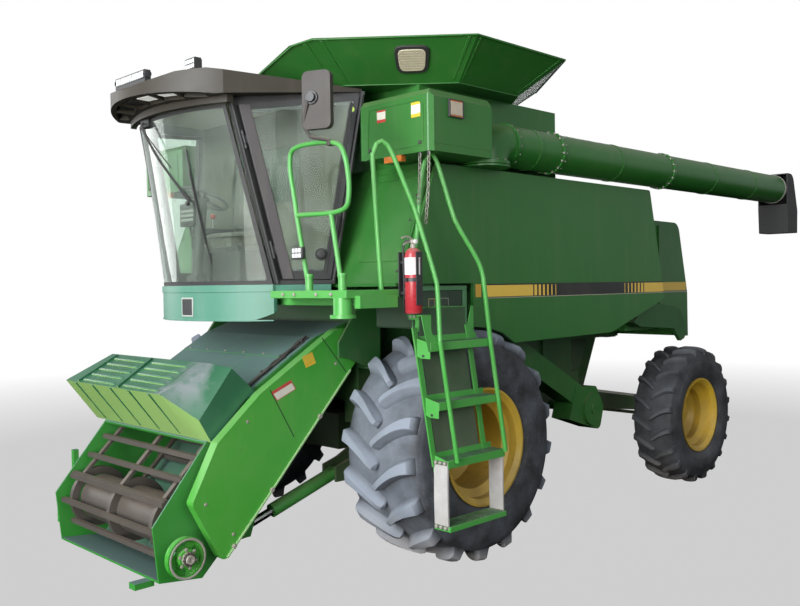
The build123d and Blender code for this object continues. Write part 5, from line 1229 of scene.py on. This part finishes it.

# Feeder house: a sloping duct of folded sheet under a ribbed hood, with the drive shield on its left. The
# shield's green is painted bright for sunlight; the hood has a painted pale sky highlight on top and painted
# sunlit green on its downward faces. Seams, clips and bare plates lie on the shield.
# The shield's green is brighter than the body's GREEN: a sunlit copy of the same paint, painted sunlight.
sunlit_feeder_green = enamel("sunlit_feeder_green", (0.034, 0.290, 0.026), (0.105, 0.330, 0.060), (0.32, 0.30, 0.24),
                      fade=0.65, settled=0.25, gloss=0.34, chips=(0.12, 0.11, 0.08))
coat(sunlit_feeder_green, "feeder_shield", "feeder_pulley")
duct_green = enamel("duct_green", (0.024, 0.200, 0.022), (0.060, 0.230, 0.060), (0.075, 0.135, 0.120),
                    fade=0.65, settled=1.4, gloss=0.45)
coat(duct_green, "feeder_house")
chain_steel = enamel("chain_steel", (0.055, 0.048, 0.042), (0.09, 0.075, 0.062), (0.14, 0.10, 0.07), fade=0.6,
                     gloss=0.48)
coat(chain_steel, "feeder_chain")
p = Paint("hood_green")
cloud, broad, top = p.noise(8, 5, rough=0.65), p.noise(2.2, 3), p.upward()
# Grey-blue patches on the upward faces of the hood's left part are a painted sky highlight.
top_sky_highlight = p.clamp((p.at(0) - 0.30) * 3) * p.clamp(top * 3 - 1.2) * p.clamp((broad + cloud * 0.5 - 0.62) * 5)
tint = p.mix(p.clamp((broad - 0.35) * 1.6), (0.022, 0.105, 0.050), (0.055, 0.175, 0.095))
# Faces turned downwards take a bright yellow-green: painted sunlight from the front and below.
tint = p.mix(p.clamp(-1 * top * 2.2 - 0.2), tint, (0.260, 0.430, 0.130))
tint = p.mix(top_sky_highlight * 0.85, tint, (0.270, 0.255, 0.300))
hood_green = p.finish({"Base Color": tint, "Roughness": p.clamp(top_sky_highlight * 0.3 + cloud * 0.15 + 0.32),
                       "Normal": p.relief(cloud, 0.0012, 0.35)})
coat(hood_green, "feeder_hood")


def on_hood(x, s, out=0.0):
    """Point of the hood's sloping top: across it, a share of the way down it, and out from it."""
    return np.array((x, -1.660 - 0.390 * s - 0.419 * out, 1.555 - 0.180 * s + 0.908 * out))


ribs, bars = [], []
for x0, x1 in ((-0.705, -0.190), (-0.110, 0.400)):
    for k in range(5):
        s = 0.17 + 0.185 * k
        shift = 0.10 * (s - 0.17) if x0 < -0.5 else 0.14 * (s - 0.17)
        left, right = x0 + shift, x1 + shift
        ends = ((left, -0.006), (left + 0.03, 0.004), (right - 0.03, 0.004), (right, -0.006))
        ribs.append(rod([on_hood(x, s, out) for x, out in ends], 0.0105, 8))
for x0, x1, wide, high in ((-0.738, -0.655, 0.011, 0.016), (-0.184, -0.020, 0.011, 0.016),
                           (0.414, 0.523, 0.004, 0.0025)):
    edge = [(x0 - wide, 0.05), (x0 + wide, 0.05), (x1 + wide, 0.99), (x1 - wide, 0.99)]
    bars.append(on_face(on_hood, edge, -0.001, high))
fit("hood_ribs", together(*ribs), hood_green, "feeder")
fit("hood_bars", together(*bars), hood_green, "feeder", bevel=0.0015)


def line_on(a, b, wide):
    """Outline of a straight band between two points of a side view."""
    a, b = np.array(a), np.array(b)
    off = np.array((a[1] - b[1], b[0] - a[0])) / np.linalg.norm(b - a) * wide / 2
    return [tuple(a + off), tuple(b + off), tuple(b - off), tuple(a - off)]


SHIELD_SKIN = 0.8798, 0.8812     # a thin sheet on the drive shield's face
dark_line = enamel("seam_shadow", (0.012, 0.040, 0.014), (0.03, 0.06, 0.03), DUST, gloss=0.6)
seams = [((-0.892, 1.702), (-0.664, 1.433)), ((-1.368, 1.364), (-1.165, 1.008))]
seams = [prism(line_on(a, b, 0.007), 0, *SHIELD_SKIN) for a, b in seams]
fit("shield_seams", together(*seams), dark_line, "feeder")
edge = [(-1.745, 0.276), (-1.412, 0.616), (-0.625, 1.448)]
flange = [prism(line_on(a, b, 0.011), 0, 0.8795, 0.894) for a, b in zip(edge, edge[1:])]
pale_edge = enamel("pale_edge", (0.20, 0.38, 0.15), (0.32, 0.44, 0.26), DUST, gloss=0.4)
fit("shield_flange", together(*flange), pale_edge, "feeder", bevel=0.001)
clips = [prism(line_on((y, z), (y + 0.020, z + 0.021), 0.026), 0, 0.879, 0.900)
         for y, z in ((-1.700, 0.330), (-1.380, 0.655), (-0.940, 1.120))]
fit("shield_clips", together(*clips), plated, "feeder", bevel=0.002)
round_head = lathe([(0, 0), (0, 0.012), (0.003, 0.012), (0.005, 0.008), (0.005, 0)], 16)
heads = [moved(round_head, (0.879, y, z))
         for y, z in ((-0.735, 1.560), (-0.765, 1.505), (-1.900, 0.660), (-1.690, 0.420), (-1.560, 1.165))]
fit("shield_bolts", together(*heads), plated, "feeder")
yellow_plate = [(-1.081, 1.575), (-0.988, 1.605), (-0.953, 1.522), (-1.046, 1.493)]
red_plate = [(-1.360, 1.349), (-1.184, 1.418), (-1.140, 1.350), (-1.310, 1.281)]
for name, corners, colour in (("shield_plate_yellow", yellow_plate, YELLOW),
                              ("shield_plate_red", red_plate, RED)):
    sheet = enamel(name + "_paint", colour, tuple(0.7 * c + 0.12 for c in colour), DUST, gloss=0.3)
    fit(name, prism(corners, 0, *SHIELD_SKIN), sheet, "feeder")
a, b, c, d = np.array(red_plate)
margin = (b - a) * 0.04
field = [a * 0.72 + d * 0.28 + margin, b * 0.72 + c * 0.28 - margin,
         c * 0.94 + b * 0.06 - margin, d * 0.94 + a * 0.06 + margin]
field_paint = enamel("shield_plate_red_field_paint", PAPER, tuple(0.85 * v for v in PAPER), DUST, gloss=0.35)
fit("shield_plate_red_field", prism(field, 0, 0.8811, 0.8816), field_paint, "feeder")

# Duct trim: flat straps are bolted across the duct's top and down its left edge. The loom's six wires run on
# that edge, swaying a few millimetres between the clips that hold them.
DUCT_TOP = (np.array((-0.85, 1.70)), np.array((-1.50, 1.31)))


def on_duct(x, s, out=0.0):
    """Point of the duct's sloping top: across it, a share of the way down it, and out from it."""
    y, z = DUCT_TOP[0] + (DUCT_TOP[1] - DUCT_TOP[0]) * s
    return np.array((x, y - 0.5145 * out, z + 0.8575 * out))


DUCT_STRAPS = ((0.30, 0.055), (0.86, 0.04))
straps = [on_face(on_duct, strip_of(-0.735, s, 0.735, s + w), -0.001, 0.005) for s, w in DUCT_STRAPS]
straps.append(on_face(on_duct, strip_of(0.700, 0.02, 0.735, 0.98), -0.001, 0.006))
fit("duct_straps", together(*straps), duct_green, "feeder", bevel=0.001)
duct_bolt = turned(lathe([(0, 0), (0, 0.010), (0.006, 0.010), (0.008, 0.006), (0.008, 0)], 6, 2),
                   math.radians(31))
heads = [moved(duct_bolt, on_duct(x, s + w / 2, 0.004)) for s, w in DUCT_STRAPS
         for x in np.linspace(-0.65, 0.65, 6)]
fit("duct_bolts", together(*heads), plated, "feeder")
chance = np.random.default_rng(7)
wires = []
for k in range(6):
    x, out = 0.668 + 0.012 * (k % 3), 0.014 + 0.012 * (k // 3)
    sway = chance.uniform(-1, 1, (9, 2)) * (0.010, 0.006)
    line = [on_duct(x + dx, s, out + lift) for s, (dx, lift) in zip(np.linspace(0.03, 0.96, 9), sway)]
    wires.append(rod(smooth_line(line, 4), 0.0062, 7))
fit("duct_loom", together(*wires), black_rubber, "feeder")
half_turn = [(0.034 * math.cos(t), 0.034 * math.sin(t)) for t in np.linspace(0, math.pi, 11)]
hoops = []
for s in (0.12, 0.38, 0.64, 0.90):
    hoops.append(rod([on_duct(0.674 + dx, s, 0.002 + lift) for dx, lift in half_turn], 0.004, 6))
fit("loom_clips", together(*hoops), lamp_shell, "feeder")

# Drive pulley: a cast wheel with a bright rubbed rim; the hub carries a small toothed sprocket. Lift rods
# are hard chromed.
p = Paint("hard_chrome")
grime = p.noise(16, 4)
shade = p.mix(p.clamp((grime - 0.52) * 3), (0.62, 0.62, 0.61), (0.30, 0.25, 0.19))
chrome = p.finish({"Base Color": shade, "Metallic": 1.0, "Roughness": grime * 0.25 + 0.06})
coat(chrome, "lift_rod_left", "lift_rod_right")
SHEAVE = (0, -2.050, 0.340)
rim = lathe([(0.8995, 0.118), (0.9015, 0.120), (0.9015, 0.132), (0.8995, 0.134)], 64)
fit("pulley_rim", moved(rim, SHEAVE), plated, "pulley", smooth=50)
hub = lathe([(0.899, 0.0), (0.899, 0.046), (0.912, 0.044), (0.912, 0.030), (0.938, 0.028), (0.938, 0.016),
             (0.930, 0.014),
             (0.930, 0.0)], 36)
fit("pulley_hub", moved(hub, SHEAVE), plated, "pulley")
tooth = ((0.038, -0.16), (0.050, -0.06), (0.050, 0.06), (0.038, 0.16))
teeth = []
for k in range(14):
    t = 2 * math.pi * k / 14
    teeth += [(r * math.cos(t + d), r * math.sin(t + d)) for r, d in tooth]
fit("pulley_sprocket", moved(prism(teeth, 0, 0.914, 0.922), SHEAVE), chain_steel, "pulley", bevel=0.0008)
screws = around(moved(round_head, (0.8985, 0, 0.062)), 6, 0.2)
fit("pulley_screws", moved(screws, SHEAVE), plated, "pulley")

# Engine and cooling: the block and its deck are oily black metal; the rotary screen at the right is drilled
# sheet, shown by dark holes 12 mm apart. A muffler lies across the deck.
engine_black = enamel("engine_black", (0.020, 0.030, 0.020), (0.05, 0.055, 0.05), (0.17, 0.14, 0.10),
                      settled=0.6, gloss=0.45)
coat(engine_black, "engine")
p = Paint("drilled_sheet")
HOLES_A_METRE, HOLES_BEFORE = 83.0, 400.0     # counted from 400 holes away, so that no number is below 0
squares = []
for axis in (1, 2):
    cell = p.sum("FRACT", p.at(axis) * HOLES_A_METRE + HOLES_BEFORE) - 0.5
    squares.append(cell * cell)
hole = (squares[0] + squares[1]) < 0.095
mist = p.noise(6, 4)
green = p.mix(p.clamp((mist - 0.4) * 2) * 0.6, (0.024, 0.150, 0.026), (0.16, 0.20, 0.12))
drilled = p.finish({"Base Color": p.mix(hole * 0.9, green, (0.006, 0.007, 0.006)),
                    "Roughness": mist * 0.2 + 0.42, "Normal": p.relief(0.0 - hole, 0.002, 0.8)})
coat(drilled, "rotary_screen")
muffler = lathe([(-0.30, 0), (-0.30, 0.060), (-0.285, 0.085), (0.285, 0.085), (0.30, 0.060), (0.30, 0)], 40)
rust = enamel("exhaust_rust", (0.16, 0.085, 0.050), (0.22, 0.13, 0.08), (0.20, 0.16, 0.12), fade=0.7,
              gloss=0.75)
fit("muffler", moved(muffler, (0.03, 1.900, 3.130)), rust)
band = lathe([(-0.012, 0.0845), (-0.012, 0.090), (0.012, 0.090), (0.012, 0.0845)], 40)
saddles = [moved(band, (x, 1.900, 3.130)) for x in (-0.14, 0.20)]
saddles += [slab((x - 0.012, 1.850, 3.050), (x + 0.012, 1.950, 3.062)) for x in (-0.14, 0.20)]
fit("muffler_straps", together(*saddles), plated)


# Rear hood: pressed seams and two bent grips on its leaning rear face, and a small red lamp near each side,
# a moulded lens on a rubber base.
def on_rear(x, z, out=0.0):
    """Point of the hood's leaning rear face: across it, a height, and out from it."""
    return np.array((x, 3.880 - 0.2568 * (z - 1.960) + 0.9686 * out, z + 0.2487 * out))


def on_rear_band(x0, z0, x1, z1, low, high):
    """Sheet over a rectangle of the rear face, between two heights above it."""
    return on_face(on_rear, strip_of(x0, z0, x1, z1), low, high)


seams = [on_rear_band(x - 0.003, 1.985, x + 0.003, 2.56, -0.0005, 0.0012) for x in (-0.62, 0.62)]
seams.append(on_rear_band(-1.20, 2.100, 1.20, 2.106, -0.0005, 0.0012))
fit("rear_hood_seams", together(*seams), dark_line)
grips = []
for x in (-0.30, 0.30):
    feet = ((-0.07, -0.002), (-0.067, 0.030), (0.067, 0.030), (0.07, -0.002))
    bow = [on_rear(x + dx, 2.02, out) for dx, out in feet]
    grips.append(rod(smooth_line(bow, 5), 0.008, 10))
fit("rear_hood_grips", together(*grips), lamp_shell)
red_lens = lens_glass("red_lens", (0.42, 0.012, 0.010), 900.0)
bases = [on_rear_band(x - 0.075, 2.40, x + 0.075, 2.52, -0.001, 0.014) for x in (-1.13, 1.13)]
fit("tail_lamp_bases", together(*bases), black_rubber, bevel=0.004)
lenses = [on_rear_band(x - 0.062, 2.412, x + 0.062, 2.508, 0.012, 0.030) for x in (-1.13, 1.13)]
fit("tail_lamp_lenses", together(*lenses), red_lens, bevel=0.005)
